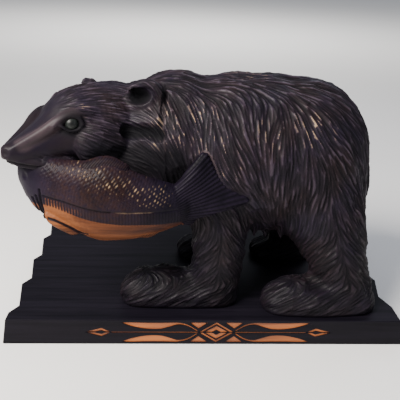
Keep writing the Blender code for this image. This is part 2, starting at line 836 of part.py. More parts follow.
def main():
    clear_scene()
    parts = new_collection("carved_bear")
    cutters = new_collection("cutters")
    stained = new_material("bear_stain", (0.030, 0.018, 0.016), 0.42)
    board = new_material("plinth_stain", (0.022, 0.014, 0.013), 0.38)
    glass = new_material("eye_glass", (0.035, 0.040, 0.032), 0.12)

    base = plinth()
    parts.objects.link(base)
    cut_with(base, place_cutter(ornament_cutter(), cutters))
    base.data.materials.append(board)

    bear = bear_form()
    carve(bear)
    lighten(bear, BEAR_TRIANGLES)
    stand_flat(bear)
    bear.data.transform(to_metres())
    for side, name in ((1, "eye_left"), (-1, "eye_right")):
        socket = ball(name + "_socket", eye_centre(side), EYE_RADIUS + SOCKET_GAP)
        cut_with(bear, place_cutter(socket, cutters))
        eye = ball(name, eye_centre(side), EYE_RADIUS)
        parts.objects.link(eye)
        eye.data.materials.append(glass)
    bpy.context.scene.collection.objects.unlink(bear)
    parts.objects.link(bear)
    bear.data.materials.append(stained)


main()
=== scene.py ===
"""The finish of the carved bear: fur cut stroke by stroke, salmon, stained plinth and glass eyes.

Lengths called drawn are in millimetres, with heights over the plinth's top. The rest are in
metres, in the model's own frame.
"""

import math
from itertools import product

import bmesh
import bpy
import numpy as np
from mathutils import Matrix, Vector, kdtree


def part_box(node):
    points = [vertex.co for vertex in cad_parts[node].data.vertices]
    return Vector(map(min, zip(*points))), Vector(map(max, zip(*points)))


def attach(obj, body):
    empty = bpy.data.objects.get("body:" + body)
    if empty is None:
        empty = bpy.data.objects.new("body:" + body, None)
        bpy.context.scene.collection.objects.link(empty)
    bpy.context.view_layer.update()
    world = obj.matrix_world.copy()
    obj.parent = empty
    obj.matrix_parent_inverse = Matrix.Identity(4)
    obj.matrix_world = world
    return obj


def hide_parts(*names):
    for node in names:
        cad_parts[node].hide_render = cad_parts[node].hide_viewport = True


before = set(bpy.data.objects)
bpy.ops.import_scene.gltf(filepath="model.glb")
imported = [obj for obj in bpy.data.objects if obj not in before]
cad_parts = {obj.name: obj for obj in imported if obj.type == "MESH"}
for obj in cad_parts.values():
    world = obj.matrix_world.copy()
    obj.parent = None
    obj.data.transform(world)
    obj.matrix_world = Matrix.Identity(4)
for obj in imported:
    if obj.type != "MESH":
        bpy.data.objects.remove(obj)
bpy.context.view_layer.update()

# From the frame: the plinth's box and the height on which the paws stand
PLINTH_LOW, PLINTH_HIGH = (Vector(corner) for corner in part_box("base"))
BEAR_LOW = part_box("bear")[0][2]
MILLIMETRE = 0.001

# The plinth's notched ends and its ornament, in metres
NOTCH_DEPTH = 0.0078
NOTCH_PITCH = 0.0572
LEFT_FIRST_NOTCH = 0.0134
LEFT_NOTCH_STEP = 0.0134
RIGHT_FIRST_NOTCH = 0.0273
RIGHT_NOTCH_STEP = 0.0219
SIDE_BEVEL = 0.0050
EDGE_ROUNDING = 0.0008
CUT_DEPTH = 0.0008
ORNAMENT_OFFSET = 0.0105
CENTRE_LENGTH = 0.0366
CENTRE_HEIGHT = 0.0252
CORE_LENGTH = 0.0250
CORE_HEIGHT = 0.0164
LEFT_REACH = 0.1095
RIGHT_REACH = 0.0953
LINE_HEIGHT = 0.0014
TIP_LENGTH = 0.0270
TIP_PEAK = 0.0100
TIP_HEIGHT = 0.0104
RING_GAP = 0.0003
# How large an island is left standing in each lozenge, as a share of it
CENTRE_ISLAND = 0.79
CORE_ISLAND = 0.36
TIP_ISLAND = 0.42
# Each leaf: distance from the middle, height over it and half its width, from the tip inwards
LEAF = [
    (0.0985, 0.0118, 0.0002), (0.0880, 0.0098, 0.0024), (0.0740, 0.0080, 0.0038),
    (0.0600, 0.0078, 0.0040), (0.0500, 0.0092, 0.0028), (0.0400, 0.0108, 0.0012),
    (0.0300, 0.0084, 0.0010), (0.0200, 0.0018, 0.0009),
]
# A wedge over the crossing of two leaves' ribbons: distance from the middle and height
WEDGE = [(0.0090, 0.0122), (0.0280, 0.0122), (0.0187, 0.0046)]

# Surface quality: voxels in drawn millimetres, rounds of smoothing, and triangles
BODY_VOXEL = 4.0
BODY_SMOOTHING = 14
SKIN_VOXEL = 0.88
SKIN_SMOOTHING = 19
HEAD_VOXEL = 0.8
HEAD_SMOOTHING = 16
SALMON_VOXEL = 0.85
SALMON_SMOOTHING = 14
MOST_TRIANGLES = 194000

# The plane down the middle of the bear's body, in drawn millimetres
BODY_MIDDLE = -22.0

# Gouge cuts, in drawn millimetres: how far apart they start, and their length, width and depth
STROKES = {"along": 17.0, "across": 2.55, "length": 31.0, "width": 3.5, "depth": 1.2}
LOCKS = {"along": 30.0, "across": 14.0, "length": 46.0, "width": 18.0, "depth": 2.4}
STROKE_TRIES = 190000
# The share of its depth that a cut takes off on average, by which the skin is raised first
MEAN_CUT = 0.4
NEIGHBOURS = list(product((-1, 0, 1), repeat=3))

# Where the crests get wear and painted glints: x, y, z and radius in drawn millimetres
WORN_AND_GLINT_SPOTS = (
    (-38, -82, 196, 26), (-12, -80, 200, 20), (4, -94, 178, 20), (16, -92, 160, 14),
    (60, -88, 194, 17), (100, -84, 198, 20), (-58, -84, 180, 8), (60, 44, 190, 24),
    (-20, 40, 190, 20), (40, -22, 238, 20), (-55, -82, 231, 12),
)

# The head: its centre, how it is turned, and its eyes in its own axes
HEAD_CENTRE = Vector((-102.0, -24.0, 186.0))
HEAD_YAW = math.radians(221)
HEAD_ROLL = math.radians(7)
EYE_PLACE = (66.0, 28.5, 8.0)
EYE_FACING = Vector((0.42, 0.86, 0.12)).normalized()
# Each ear: its side, its place in the head's axes and its radius
EARS = ((1, (-3, 54, 22), 21), (-1, (-6, -50, 23), 18))
# The middle of what stays bare of fur round an ear
BARE_EAR = (2, 58, 26)
# The lids: how far they stand out, and their edges back from the eye's centre and up from it
LID_RISE = 4.2
UPPER_LID = ((9.5, -2), (8.0, 3.0), (3, 6.2), (-4, 6.4), (-11, 3.4), (-17, -1.5))
LOWER_LID = ((9.5, -2), (5.5, -6), (-2, -6.8), (-8, -3), (-12, 0.5))


def head_matrix():
    """From the head's own axes (x to the nose, y to its left ear, z up) to the drawing."""
    turn = Matrix.Rotation(HEAD_YAW, 4, "Z") @ Matrix.Rotation(HEAD_ROLL, 4, "X")
    return Matrix.Translation(HEAD_CENTRE) @ turn


def mirrored(place, side):
    """A place or direction in the head's axes, on its left (1) or its right (-1)."""
    return Vector((place[0], side * place[1], place[2]))


def ramp(value, low, high):
    """0 at low, 1 at high, and level past them."""
    return np.clip((value - low) / (high - low), 0, 1)


class Masses:
    """Overlapping rounded masses, in drawn millimetres."""

    def __init__(self):
        ball = bmesh.new()
        bmesh.ops.create_icosphere(ball, subdivisions=3, radius=1.0)
        self.points = np.array([v.co[:] for v in ball.verts])
        self.faces = np.array([[v.index for v in f.verts] for f in ball.faces])
        self.places = []
        ball.free()

    def blob(self, centre, radii, base=None):
        """An ellipsoid in the axes of base."""
        matrix = Matrix.Translation(Vector(centre)) @ Matrix.Diagonal((*radii, 1.0))
        if base:
            matrix = base @ matrix
        self.places.append(np.array(matrix))

    def limb(self, rows, base=None, per_span=6):
        """A rounded limb through rows of x, y, z and the three radii there."""
        for row in smooth_rows(rows, per_span):
            self.blob(row[:3], np.maximum(row[3:], 0.5), base)

    def mesh(self, name):
        """All the masses as one mesh."""
        points = []
        faces = []
        for i, matrix in enumerate(self.places):
            points.append(self.points @ matrix[:3, :3].T + matrix[:3, 3])
            faces.append(self.faces + i * len(self.points))
        made = bpy.data.meshes.new(name)
        made.from_pydata(np.vstack(points).tolist(), [], np.vstack(faces).tolist())
        return made


def smooth_rows(rows, per_span):
    """Rows of numbers joined by a Catmull-Rom curve."""
    rows = np.array(rows, float)
    ends = np.vstack([2 * rows[0] - rows[1], rows, 2 * rows[-1] - rows[-2]])
    made = []
    for i in range(len(rows) - 1):
        a, b, c, d = ends[i : i + 4]
        for t in np.linspace(0, 1, per_span, endpoint=False):
            bend = (2 * a - 5 * b + 4 * c - d) * t**2 + (3 * b - a - 3 * c + d) * t**3
            made.append(0.5 * (2 * b + (c - a) * t + bend))
    made.append(rows[-1])
    return np.array(made)


# Where the head's skin ends behind the ears: height and place in its own axes, and its lowest
HEAD_BORDER = ((-32, 1), (-8, 0), (10, -6), (25, -13), (37, -22), (55, -28))
HEAD_LOWEST = -78
SINK_DEPTH = 7.0
# The ridge from the brow to the nose, in the head's axes, where a highlight is painted on the stain
HIGHLIGHT_RIDGE = ((54, 30, 18), (74, 23, 12), (88, 16.5, 3), (108, 8, -8))
# The shadowed fold between the cheek and the salmon, in drawn millimetres
DARK_FOLD = (
    (-112, -88, 167), (-92, -86, 163), (-76, -84, 161), (-58, -84, 160), (-38, -90, 160),
    (-36, -90, 140),
)

# The body's and the neck's masses: x, y, z of the middle and the three radii
BODY = (
    (-34, -20, 160, 67, 73, 80), (28, -20, 153, 94, 82, 85.5), (98, -20, 151, 80, 78, 85.5),
    (60, -20, 151, 102, 79, 88), (118, -20, 126, 63, 72, 76), (-62, -26, 167, 57, 57, 61),
    (-78, -24, 180, 48, 50, 46), (-64, -60, 146, 44, 32, 38), (-104, -60, 146, 38, 34, 24),
)
# Each leg: its side, its rows of x, y, z and radii from the body down, and its paw's from the heel
LEGS = (
    (
        -1,
        [(0, -56, 140, 50, 38, 50), (10, -70, 100, 34, 31, 34), (13, -75, 60, 29, 27, 30),
         (10, -76, 24, 29, 26, 22)],
        [(14, -76, 9, 24, 25, 20), (-20, -75, 10, 26, 27, 24), (-52, -74, 12, 25, 28, 26),
         (-74, -74, 8, 20, 26, 21)],
    ),
    (
        -1,
        [(114, -48, 122, 54, 44, 62), (132, -66, 82, 41, 35, 40), (142, -77, 50, 33, 30, 30),
         (153, -82, 22, 30, 28, 22)],
        [(162, -87, 7, 26, 27, 18), (130, -89, 8, 26, 28, 21), (100, -88, 10, 25, 29, 24),
         (78, -88, 6, 20, 26, 18)],
    ),
    (
        1,
        [(0, 18, 140, 48, 38, 50), (18, 26, 100, 31, 30, 34), (24, 29, 60, 25, 26, 30),
         (26, 30, 24, 25, 25, 22)],
        [(30, 30, 8, 22, 24, 17), (6, 30, 8, 24, 25, 18), (-12, 30, 7, 20, 24, 17)],
    ),
    (
        1,
        [(110, 10, 122, 54, 42, 62), (110, 21, 82, 37, 33, 40), (106, 27, 50, 27, 28, 30),
         (112, 28, 22, 25, 26, 22)],
        [(118, 28, 8, 24, 25, 16), (94, 28, 8, 24, 26, 17), (80, 28, 7, 20, 24, 15)],
    ),
)

# The head's rows in its own axes, from back to front; the ridge and the lip on its left
SKULL = [
    (-8, 0, -6, 20, 53, 46), (20, 0, -5, 18, 51, 46), (46, 0, -4, 15, 43, 42.5),
    (62, 0, -5, 13, 35, 36), (74, 0, -9, 10, 28, 28), (86, 0, -12, 10, 22.5, 22.5),
    (100, 0, -14, 9, 17, 16.5), (112, 0, -15, 8, 12.5, 12), (119, 0, -14, 7, 9.5, 9),
]
JAW = [(0, 0, -44, 34, 32, 24), (34, 0, -56, 26, 22, 16), (62, 0, -62, 18, 15, 11)]
BROW_RIDGE = [
    (46, 33, 15, 11, 6, 4), (60, 29, 17, 9, 6, 4.5), (74, 23, 12, 8, 6.5, 5.5),
    (88, 16.5, 2.5, 8, 6, 6), (114, 7, -9.5, 6, 4.5, 4.5),
]
LIP = [(72, 19, -32, 12, 11, 9), (94, 12, -27, 10, 8, 7), (110, 6, -23, 8, 6, 5)]

# The salmon's rows of x, y, z and its radii, from its head to its tail
SALMON = [
    (-181, -85, 147, 8, 8, 18), (-168, -92, 139.5, 12, 13, 29), (-145, -99, 132.5, 14, 17, 33.5),
    (-113, -106, 127, 16, 21, 40), (-92, -108, 126, 16, 20.5, 39.5),
    (-70, -108, 122.5, 16, 18.5, 33), (-48, -107, 122.5, 14, 16, 26),
    (-30, -105, 123, 12, 13, 19.5),
]
# The rays of its tail: x and z of the tip, and the height of the root
SALMON_TAIL = (
    (-8, 170, 138), (-2, 159, 132), (4, 148, 127), (11, 139, 122), (22, 132, 117),
    (34, 126, 111),
)
# The middle and radii of the wood left between the tail's root and the leg
TAIL_FILLING = ((-24, -98, 107), (11, 9, 8))
# Its fins: on the back, behind the gills and under the tail
SALMON_FINS = (
    [(-116, -106, 162, 8, 8, 6), (-100, -105, 166, 9, 7, 6), (-86, -106, 160, 8, 7, 6)],
    [(-158, -107, 111, 5, 5, 5), (-146, -112, 105, 8, 4.5, 4.5), (-133, -114, 98, 7, 4, 4)],
    [(-76, -110, 100, 7, 8, 7), (-64, -110, 96, 9, 6, 6), (-54, -109, 101, 7, 6, 6)],
)

# Pointed tufts behind the legs: x, y, z of the root, how far they stand out, and their drop
LEG_TUFTS = (
    (34, -76, 94, 14, 22), (37, -76, 72, 13, 20), (36, -76, 50, 12, 18), (164, -80, 100, 10, 20),
    (168, -82, 74, 11, 20), (172, -84, 50, 11, 20), (174, -84, 32, 14, 18), (46, 30, 70, 10, 18),
    (46, 30, 48, 10, 16), (140, 26, 74, 10, 18), (134, 28, 48, 9, 16),
)
BELLY_TUFTS = ((52, -62, 76), (66, -52, 71), (82, -60, 73), (64, -8, 71), (86, -10, 69))


def body_masses():
    """The body, neck and legs."""
    masses = Masses()
    for row in BODY:
        masses.blob(row[:3], row[3:])
    for _, leg, paw in LEGS:
        masses.limb(leg)
        masses.limb(paw)
    return masses


def head_masses(masses):
    """The skull, jaw, lips, cheeks and ears."""
    skull = head_matrix()
    masses.limb(SKULL, skull)
    masses.limb(JAW, skull)
    for side in (-1, 1):
        for rows in (BROW_RIDGE, LIP):
            sided = [(x, side * y, z, *radii) for x, y, z, *radii in rows]
            masses.limb(sided, skull, per_span=10)
        masses.blob((28, side * 33, -14), (40, 20, 30), skull)
    for side, place, radius in EARS:
        ear(masses, side, place, radius)


def ear_axes(side, place):
    """An ear's own axes: x down, y back, z out of the ear."""
    turn = Matrix.Rotation(math.radians(side * 44), 4, "Z") @ Matrix.Rotation(math.radians(84), 4, "Y")
    return head_matrix() @ Matrix.Translation(Vector(place)) @ turn


def ear(masses, side, place, radius):
    """A round ear with a rim over and behind it."""
    axes = ear_axes(side, place)
    masses.blob((0, 0, -3), (radius, radius, radius * 0.44), axes)
    for step in range(37):
        angle = math.radians(step * 5 - 50)
        thick = radius * (0.14 + 0.10 * math.sin(math.pi * step / 36))
        spot = (-0.82 * radius * math.cos(angle), side * 0.82 * radius * math.sin(angle), 3)
        masses.blob(spot, (thick, thick, radius * 0.28), axes)


def eyelids(masses):
    """A pointed lid over and under each eye."""
    skull = head_matrix()
    for side in (-1, 1):
        facing = mirrored(EYE_FACING, side)
        back = facing.cross(Vector((0, 0, 1))).normalized() * -side
        above = Vector((0, 0, 1)) - facing * facing.z
        place = mirrored(EYE_PLACE, side) + facing * LID_RISE
        for edge, thick in ((UPPER_LID, 2.3), (LOWER_LID, 1.7)):
            for a, b in smooth_rows(edge, 6):
                masses.blob(place + back * a + above * b, (thick, thick, thick), skull)


def tail_rays():
    """The rays of the salmon's tail, which ends in the fur of the shoulder."""
    rays = []
    for x, z, root_z in smooth_rows(SALMON_TAIL, 3):
        root = (-32, -106, root_z, 8, 9, 6)
        middle = (0.5 * (x - 32), -104, 0.5 * (root_z + z), 8, 7.5, 5)
        rays.append([root, middle, (x, -96, z, 5, 5, 5)])
    return rays


def salmon_masses(masses):
    """The salmon's body, tail and fins."""
    masses.limb(SALMON, per_span=7)
    for ray in tail_rays():
        masses.limb(ray)
    for fin in SALMON_FINS:
        masses.limb(fin, per_span=4)
    masses.blob(*TAIL_FILLING)


def tuft_masses(masses):
    """The pointed tufts behind the legs and under the belly."""
    for x, y, z, out, drop in LEG_TUFTS:
        root = (x - 12, y, z + 8, 10, 12, 8)
        middle = (x - 4, y, z, 6, 8, 6)
        tip = (x + out - 10, y, z - drop + 4, 2, 3, 3)
        masses.limb([root, middle, tip], per_span=4)
    for x, y, z in BELLY_TUFTS:
        masses.limb([(x, y, z + 14, 12, 12, 8), (x, y, z, 3, 4, 8)], per_span=4)


def placed(data, name):
    """A new object of the scene."""
    made = bpy.data.objects.new(name, data)
    bpy.context.scene.collection.objects.link(made)
    return made


def as_mesh(bm, name):
    """The bmesh as a mesh, freed."""
    mesh = bpy.data.meshes.new(name)
    bm.to_mesh(mesh)
    bm.free()
    return mesh


def modify(shape, kind, **settings):
    """Adds a modifier to the shape."""
    added = shape.modifiers.new(kind, kind)
    for key, value in settings.items():
        setattr(added, key, value)


def applied(shape):
    """The shape with the mesh that its modifiers make."""
    graph = bpy.context.evaluated_depsgraph_get()
    made = bpy.data.meshes.new_from_object(shape.evaluated_get(graph))
    shape.modifiers.clear()
    shape.data = made
    return shape


def fused(mesh, name, voxel, smoothing):
    """One skin round everything in the mesh, smoothed."""
    shape = placed(mesh, name)
    modify(shape, "REMESH", mode="VOXEL", voxel_size=voxel)
    modify(shape, "SMOOTH", factor=0.5, iterations=smoothing)
    return applied(shape)


def read_points(mesh):
    """The places and normals of the mesh's points."""
    points = np.empty(len(mesh.vertices) * 3)
    normals = np.empty(len(mesh.vertices) * 3)
    mesh.vertices.foreach_get("co", points)
    mesh.vertex_normals.foreach_get("vector", normals)
    return points.reshape(-1, 3), normals.reshape(-1, 3)


def write_points(mesh, points):
    mesh.vertices.foreach_set("co", points.reshape(-1))
    mesh.update()


def to_path(points, path):
    """Each point's distance to a path of straight pieces."""
    best = np.full(len(points), 1e9)
    for a, b in zip(path[:-1], path[1:]):
        along = b - a
        share = np.clip((points - a) @ along / (along @ along), 0, 1)
        gap = points - a - share[:, None] * along
        best = np.minimum(best, np.linalg.norm(gap, axis=1))
    return best


def groove(points, path, width, depth):
    """How deep a groove along the path cuts at each point."""
    gap = to_path(points, smooth_rows(path, 5))
    return depth * np.clip(1 - (gap / (width / 2)) ** 2, 0, 1)


def dimple(points, centre, radius, depth):
    """How deep a round dimple cuts at each point."""
    gap = np.linalg.norm(points - np.array(centre), axis=1)
    return depth * np.clip(1 - (gap / radius) ** 2, 0, 1) ** 1.5


def inside_rows(points, rows, swell):
    """Whether each point lies in a limb's masses, made larger by swell."""
    found = np.zeros(len(points), bool)
    for row in smooth_rows(rows, 7):
        radii = row[3:] + swell
        found |= (((points - row[:3]) / radii) ** 2).sum(axis=1) < 1
    return found


def on_salmon(points):
    """Whether each point lies on the salmon, its fins or its tail."""
    found = (points[:, 1] < -70) & (points[:, 0] < 48)
    close = points[found]
    inside = inside_rows(close, SALMON, 1.5)
    for rows in tail_rays() + list(SALMON_FINS):
        inside |= inside_rows(close, rows, 1.5)
    found[found] = inside
    return found


def in_head(points):
    """Points in the head's own axes."""
    matrix = np.array(head_matrix().inverted())
    return points @ matrix[:3, :3].T + matrix[:3, 3]


# How the fur lies on the viewer's side: a point on the body, then the fur's x and z there
FUR_GUIDES = (
    (-50, -80, 205, 0.2, -1.0), (-45, -80, 150, 0.25, -1.0), (-12, -72, 209, 0.0, -1.0),
    (2, -94, 176, 0.08, -1.0), (16, -89, 195, 0.3, -0.95), (0, -60, 230, 0.8, -0.4),
    (27, -100, 159, 0.5, -0.85), (16, -104, 140, 0.75, -0.65), (38, -98, 132, 0.75, -0.6),
    (44, -99, 159, 0.3, -0.95), (31, -97, 178, 0.5, -0.85), (45, -85, 212, -0.35, -0.95),
    (60, -60, 232, 0.5, -0.6), (60, -87, 195, -0.35, -0.95), (72, -97, 148, -0.2, -1.0),
    (66, -92, 180, -0.25, -1.0), (80, -92, 125, 0.0, -1.0), (85, -92, 177, 0.1, -1.0),
    (95, -82, 200, 0.4, -0.9), (109, -84, 196, 0.5, -0.85), (112, -90, 125, -0.4, -0.9),
    (115, -58, 226, 0.8, -0.6), (126, -87, 177, 0.7, -0.7), (136, -87, 135, 0.8, -0.6),
    (150, -70, 200, 0.7, -0.7), (160, -80, 110, 0.4, -0.9), (-60, -22, 238, 1.0, 0.0),
    (0, -22, 238, 1.0, 0.0), (60, -22, 238, 1.0, 0.0), (120, -22, 230, 1.0, -0.3),
    (170, -22, 190, 0.4, -1.0), (185, -22, 130, 0.0, -1.0), (-90, -22, 110, 0.3, -1.0),
    (60, -22, 70, 1.0, -0.2),
)


def blended(first, second, share):
    """Between two sets of directions, by each point's share of the second."""
    return first * (1 - share[:, None]) + second * share[:, None]


def fur_directions(points, normals):
    """The direction in which the fur lies at each point, along the surface."""
    near = np.array(FUR_GUIDES, float)
    far = near * (1, -1, 1, 1, 1) + (0, 2 * BODY_MIDDLE, 0, 0, 0)
    x, y, z = points.T
    flow = np.zeros_like(points)
    for row in np.vstack([near, far]):
        gap = ((points - row[:3]) ** 2).sum(axis=1)
        flow[:, ::2] += row[3:] / (gap[:, None] + 200.0) ** 1.5
    flow /= np.linalg.norm(flow, axis=1)[:, None]
    for outward, leg, _ in LEGS:
        axis = smooth_rows(leg, 6)
        row = axis[np.abs(z[:, None] - axis[:, 2]).argmin(axis=1)]
        dx = x - row[:, 0]
        dy = (y - row[:, 1]) * outward
        gap = np.hypot(dx / row[:, 3], dy / row[:, 4])
        share = np.clip(1.6 - gap, 0, 0.4) / 0.4 * ramp(z, 105, 75)
        share *= (np.sign(y - BODY_MIDDLE) == outward) | (gap < 1.15)
        spread = np.clip(dx / 8, -1, 1) * 0.8
        angle = np.arctan2(dx, dy)
        sideways = -np.abs(spread) * np.abs(np.sin(angle)) * outward
        herring = np.column_stack([spread * np.cos(angle), sideways, np.full(len(points), -1.0)])
        herring /= np.linalg.norm(herring, axis=1)[:, None]
        flow = blended(flow, herring, share)
    ahead, aside, up = in_head(points).T
    outward = np.clip(aside / 60, -0.5, 0.5)
    rise = np.clip((up - 30) / 60, -0.7, 0)
    turn = np.array(head_matrix().to_3x3())
    back = np.column_stack([np.full(len(points), -1.0), outward, rise]) @ turn.T
    flow = blended(flow, back, ramp(ahead, -10, 15) * ramp(up, -60, -40))
    flow = blended(flow, np.array((-0.8, 0, -0.5)), ramp(z, 34, 22))
    flow -= (flow * normals).sum(axis=1)[:, None] * normals
    return flow / np.maximum(np.linalg.norm(flow, axis=1), 1e-6)[:, None]


def fur_share(points):
    """How much fur is carved at each point: none on the snout, eyes, ears and salmon."""
    local = in_head(points)
    ahead, _, up = local.T
    share = np.maximum(ramp(ahead, 70, 58), ramp(up, -18, -24) * ramp(ahead, 100, 92))
    for side, (place, soft, rim) in product((-1, 1), ((EYE_PLACE, 5, 2.2), (BARE_EAR, 4, 2.4))):
        gap = np.linalg.norm(local - np.array(mirrored(place, side)), axis=1)
        share *= np.clip(gap / soft - rim, 0, 1)
    share[on_salmon(points)] = 0
    share *= np.clip(points[:, 2] / 5 - 0.3, 0, 1)
    return share


def before_border(points):
    """How far each point lies before the line behind the ears, or over the throat."""
    ahead, _, up = in_head(points).T
    heights, places = zip(*HEAD_BORDER)
    return np.minimum(ahead - np.interp(up, heights, places), up - HEAD_LOWEST)


def head_path(rows):
    """A path given in the head's axes, in the drawing."""
    return [(head_matrix() @ Vector(row))[:] for row in rows]


def hollow(points, axes, centre, radii, depth):
    """How deep an oval hollow, given in the axes, cuts at each point."""
    matrix = np.array(axes.inverted())
    gap = (points @ matrix[:3, :3].T + matrix[:3, 3] - centre) / radii
    return depth * np.clip(1 - (gap**2).sum(axis=1), 0, 1)


# Cuts of the left side of the face, in its own axes: their path, width and depth
FACE_LINES = (
    (((126, 0, -21), (116, 9, -25), (98, 17, -30), (82, 27, -34)), 6, 2.6),
    (((20, 50, -5), (10, 60, -6), (4, 68, -6), (0, 77, -9)), 17, 5.5),
    (((-22, 58, 37), (-13, 72, 25), (-6, 76, 10), (0, 79, -8)), 8, 3.0),
)
NOSTRIL = (123, 4.5, -13)
# An ear's pit, as shares of the ear's radius
PIT_CENTRE = (-0.22, -0.28, 0.20)
PIT_RADII = np.array((0.42, 0.66, 0.7))
PIT_DEPTH = 10
HEAD_REACH = 150


def carve_face(points):
    """How deep the nostrils, the mouth, the ears and the folds behind them cut at each point."""
    near = np.linalg.norm(points - np.array(HEAD_CENTRE), axis=1) < HEAD_REACH
    close = points[near]
    cuts = np.zeros(len(close))
    for side, place, radius in EARS:
        pit = np.array((PIT_CENTRE[0], side * PIT_CENTRE[1], PIT_CENTRE[2])) * radius
        ear_pit = hollow(close, ear_axes(side, place), pit, PIT_RADII * radius, PIT_DEPTH)
        cuts = np.maximum(cuts, ear_pit)
        cuts += dimple(close, head_path([mirrored(NOSTRIL, side)])[0], 4.5, 2.2)
        for line, width, deep in FACE_LINES:
            path = head_path([mirrored(row, side) for row in line])
            cuts = np.maximum(cuts, groove(close, path, width, deep))
    depth = np.zeros(len(points))
    depth[near] = cuts
    return depth


# The edges of the gill cover and the cuts before it, from above, as drawn x and z
GILLS = (
    ((-164, 138), (-163, 124), (-161, 111), (-157, 103)),
    ((-172, 128), (-169.5, 119.5), (-166, 108), (-162, 102)),
    ((-179, 124), (-176, 118.5), (-172, 111), (-168, 105)),
    ((-168, 131), (-166, 122), (-163.5, 110), (-160, 103)),
)


def body_form():
    """The bear's body without fur, as a mesh in drawn millimetres."""
    body = fused(body_masses().mesh("body"), "body", BODY_VOXEL, BODY_SMOOTHING)
    modify(body, "SUBSURF", levels=1, render_levels=1)
    applied(body)
    tufts = Masses()
    tuft_masses(tufts)
    joined = bmesh.new()
    joined.from_mesh(body.data)
    joined.from_mesh(tufts.mesh("tufts"))
    bpy.data.objects.remove(body)
    return as_mesh(joined, "body")


def cut_away(bm, place, outward):
    """Cuts off what lies past a plane and closes the cut."""
    everything = list(bm.verts) + list(bm.edges) + list(bm.faces)
    cut = bmesh.ops.bisect_plane(
        bm, geom=everything, plane_co=place, plane_no=outward, dist=0.02, clear_outer=True
    )
    rim = [g for g in cut["geom_cut"] if isinstance(g, bmesh.types.BMEdge)]
    bmesh.ops.holes_fill(bm, edges=rim, sides=0)
    bmesh.ops.triangulate(bm, faces=list(bm.faces))


def head_form(body):
    """The head with its ears and lids on the neck, as a mesh in drawn millimetres."""
    masses = Masses()
    head_masses(masses)
    eyelids(masses)
    joined = bmesh.new()
    joined.from_mesh(body)
    cut_away(joined, (-15, 0, 0), (1, 0, 0))
    cut_away(joined, (0, 0, 95), (0, 0, -1))
    joined.from_mesh(masses.mesh("head"))
    return as_mesh(joined, "head")


def nearest_tree(points):
    """A tree that finds the point nearest to a place."""
    tree = kdtree.KDTree(len(points))
    for i, p in enumerate(points):
        tree.insert(p, i)
    tree.balance()
    return tree


def stroke_sizes(points):
    """How large the gouge cuts are at each point: small on the face."""
    ahead, _, up = in_head(points).T
    return 1 - 0.22 * (ramp(ahead, -16, 4) * ramp(up, -58, -46))


def stroke_seeds(fur, along, across, rng):
    """Indices of points where cuts are made, close across the fur and further along it."""
    sideways = np.cross(fur.normals, fur.flow)
    cells = {}
    kept = []
    for i in rng.permutation(len(fur.points))[:STROKE_TRIES]:
        if fur.share[i] < 0.15:
            continue
        p = fur.points[i]
        home = tuple(int(v // along) for v in p)
        near = []
        for dx, dy, dz in NEIGHBOURS:
            near += cells.get((home[0] + dx, home[1] + dy, home[2] + dz), ())
        if near:
            gap = fur.points[near] - p
            u = gap @ fur.flow[i] / (along * fur.size[i])
            v = gap @ sideways[i] / (across * fur.size[i])
            if np.any(u**2 + v**2 + (gap @ fur.normals[i] / 8) ** 2 < 1):
                continue
        cells.setdefault(home, []).append(i)
        kept.append(i)
    return kept


def stroke_path(fur, start, length, sway):
    """A curved line that follows the fur through the start point."""
    sides = []
    for sign in (-1, 1):
        place = fur.points[start]
        walk = []
        for _ in range(3):
            i = fur.tree.find(place)[1]
            place = place + sign * length / 6 * (fur.flow[i] + sway)
            place = 0.6 * fur.points[fur.tree.find(place)[1]] + 0.4 * place
            walk.append(place)
        sides.append(walk)
    return np.array(sides[0][::-1] + [fur.points[start]] + sides[1])


class Fur:
    """A skin's points with the direction, share and size of the fur at each."""

    def __init__(self, mesh, part):
        self.points, self.normals = read_points(mesh)
        self.ahead = part * before_border(self.points)
        self.share = fur_share(self.points) * ramp(self.ahead, -0.5, 1.0)
        self.flow = fur_directions(self.points, self.normals)
        self.size = stroke_sizes(self.points)
        self.tree = nearest_tree(self.points)


def cut_strokes(fur, rng, along, across, length, width, depth):
    """How deep the cuts go at each point, each point's place in its cut, and a number of the cut."""
    cut = np.zeros(len(fur.points))
    place = np.zeros(len(fur.points))
    number = np.zeros(len(fur.points))
    # Each cut is laid piece by piece along its path, and the deepest cut wins at each point
    for i in stroke_seeds(fur, along, across, rng):
        long = length * fur.size[i] * rng.uniform(0.7, 1.25)
        wide = width * fur.size[i] * rng.uniform(0.85, 1.2)
        deep = depth * fur.size[i] * rng.uniform(0.7, 1.25)
        side = np.cross(fur.normals[i], fur.flow[i])
        path = stroke_path(fur, i, long, side * rng.normal(0, 0.07))
        tint = rng.uniform()
        for k in range(len(path) - 1):
            piece = path[k + 1] - path[k]
            reach = (wide + np.linalg.norm(piece)) / 2
            near = np.array([j for _, j, _ in fur.tree.find_range(path[k] + piece / 2, reach)], int)
            near = near[fur.normals[near] @ fur.normals[i] > 0.1]
            offset = fur.points[near] - path[k]
            part = np.clip(offset @ piece / (piece @ piece), 0, 1)
            gap = offset - part[:, None] * piece
            gap -= (gap * fur.normals[near]).sum(axis=1)[:, None] * fur.normals[near]
            far = np.linalg.norm(gap, axis=1)
            u = (k + part) / (len(path) - 1)
            here = deep * np.clip(1 - (far / (wide / 2)) ** 2, 0, 1)
            here *= np.clip(np.sin(math.pi * u**0.8), 0, 1) ** 0.6
            deeper = here > cut[near]
            chosen = near[deeper]
            cut[chosen] = here[deeper]
            place[chosen] = (np.sign(gap @ side) * far)[deeper]
            number[chosen] = tint
    return cut, place, number


def put_values(mesh, **values):
    """Named values at each point, for the material to read."""
    for name, value in values.items():
        layer = mesh.attributes.new(name, "FLOAT", "POINT")
        layer.data.foreach_set("value", np.asarray(value, np.float32))


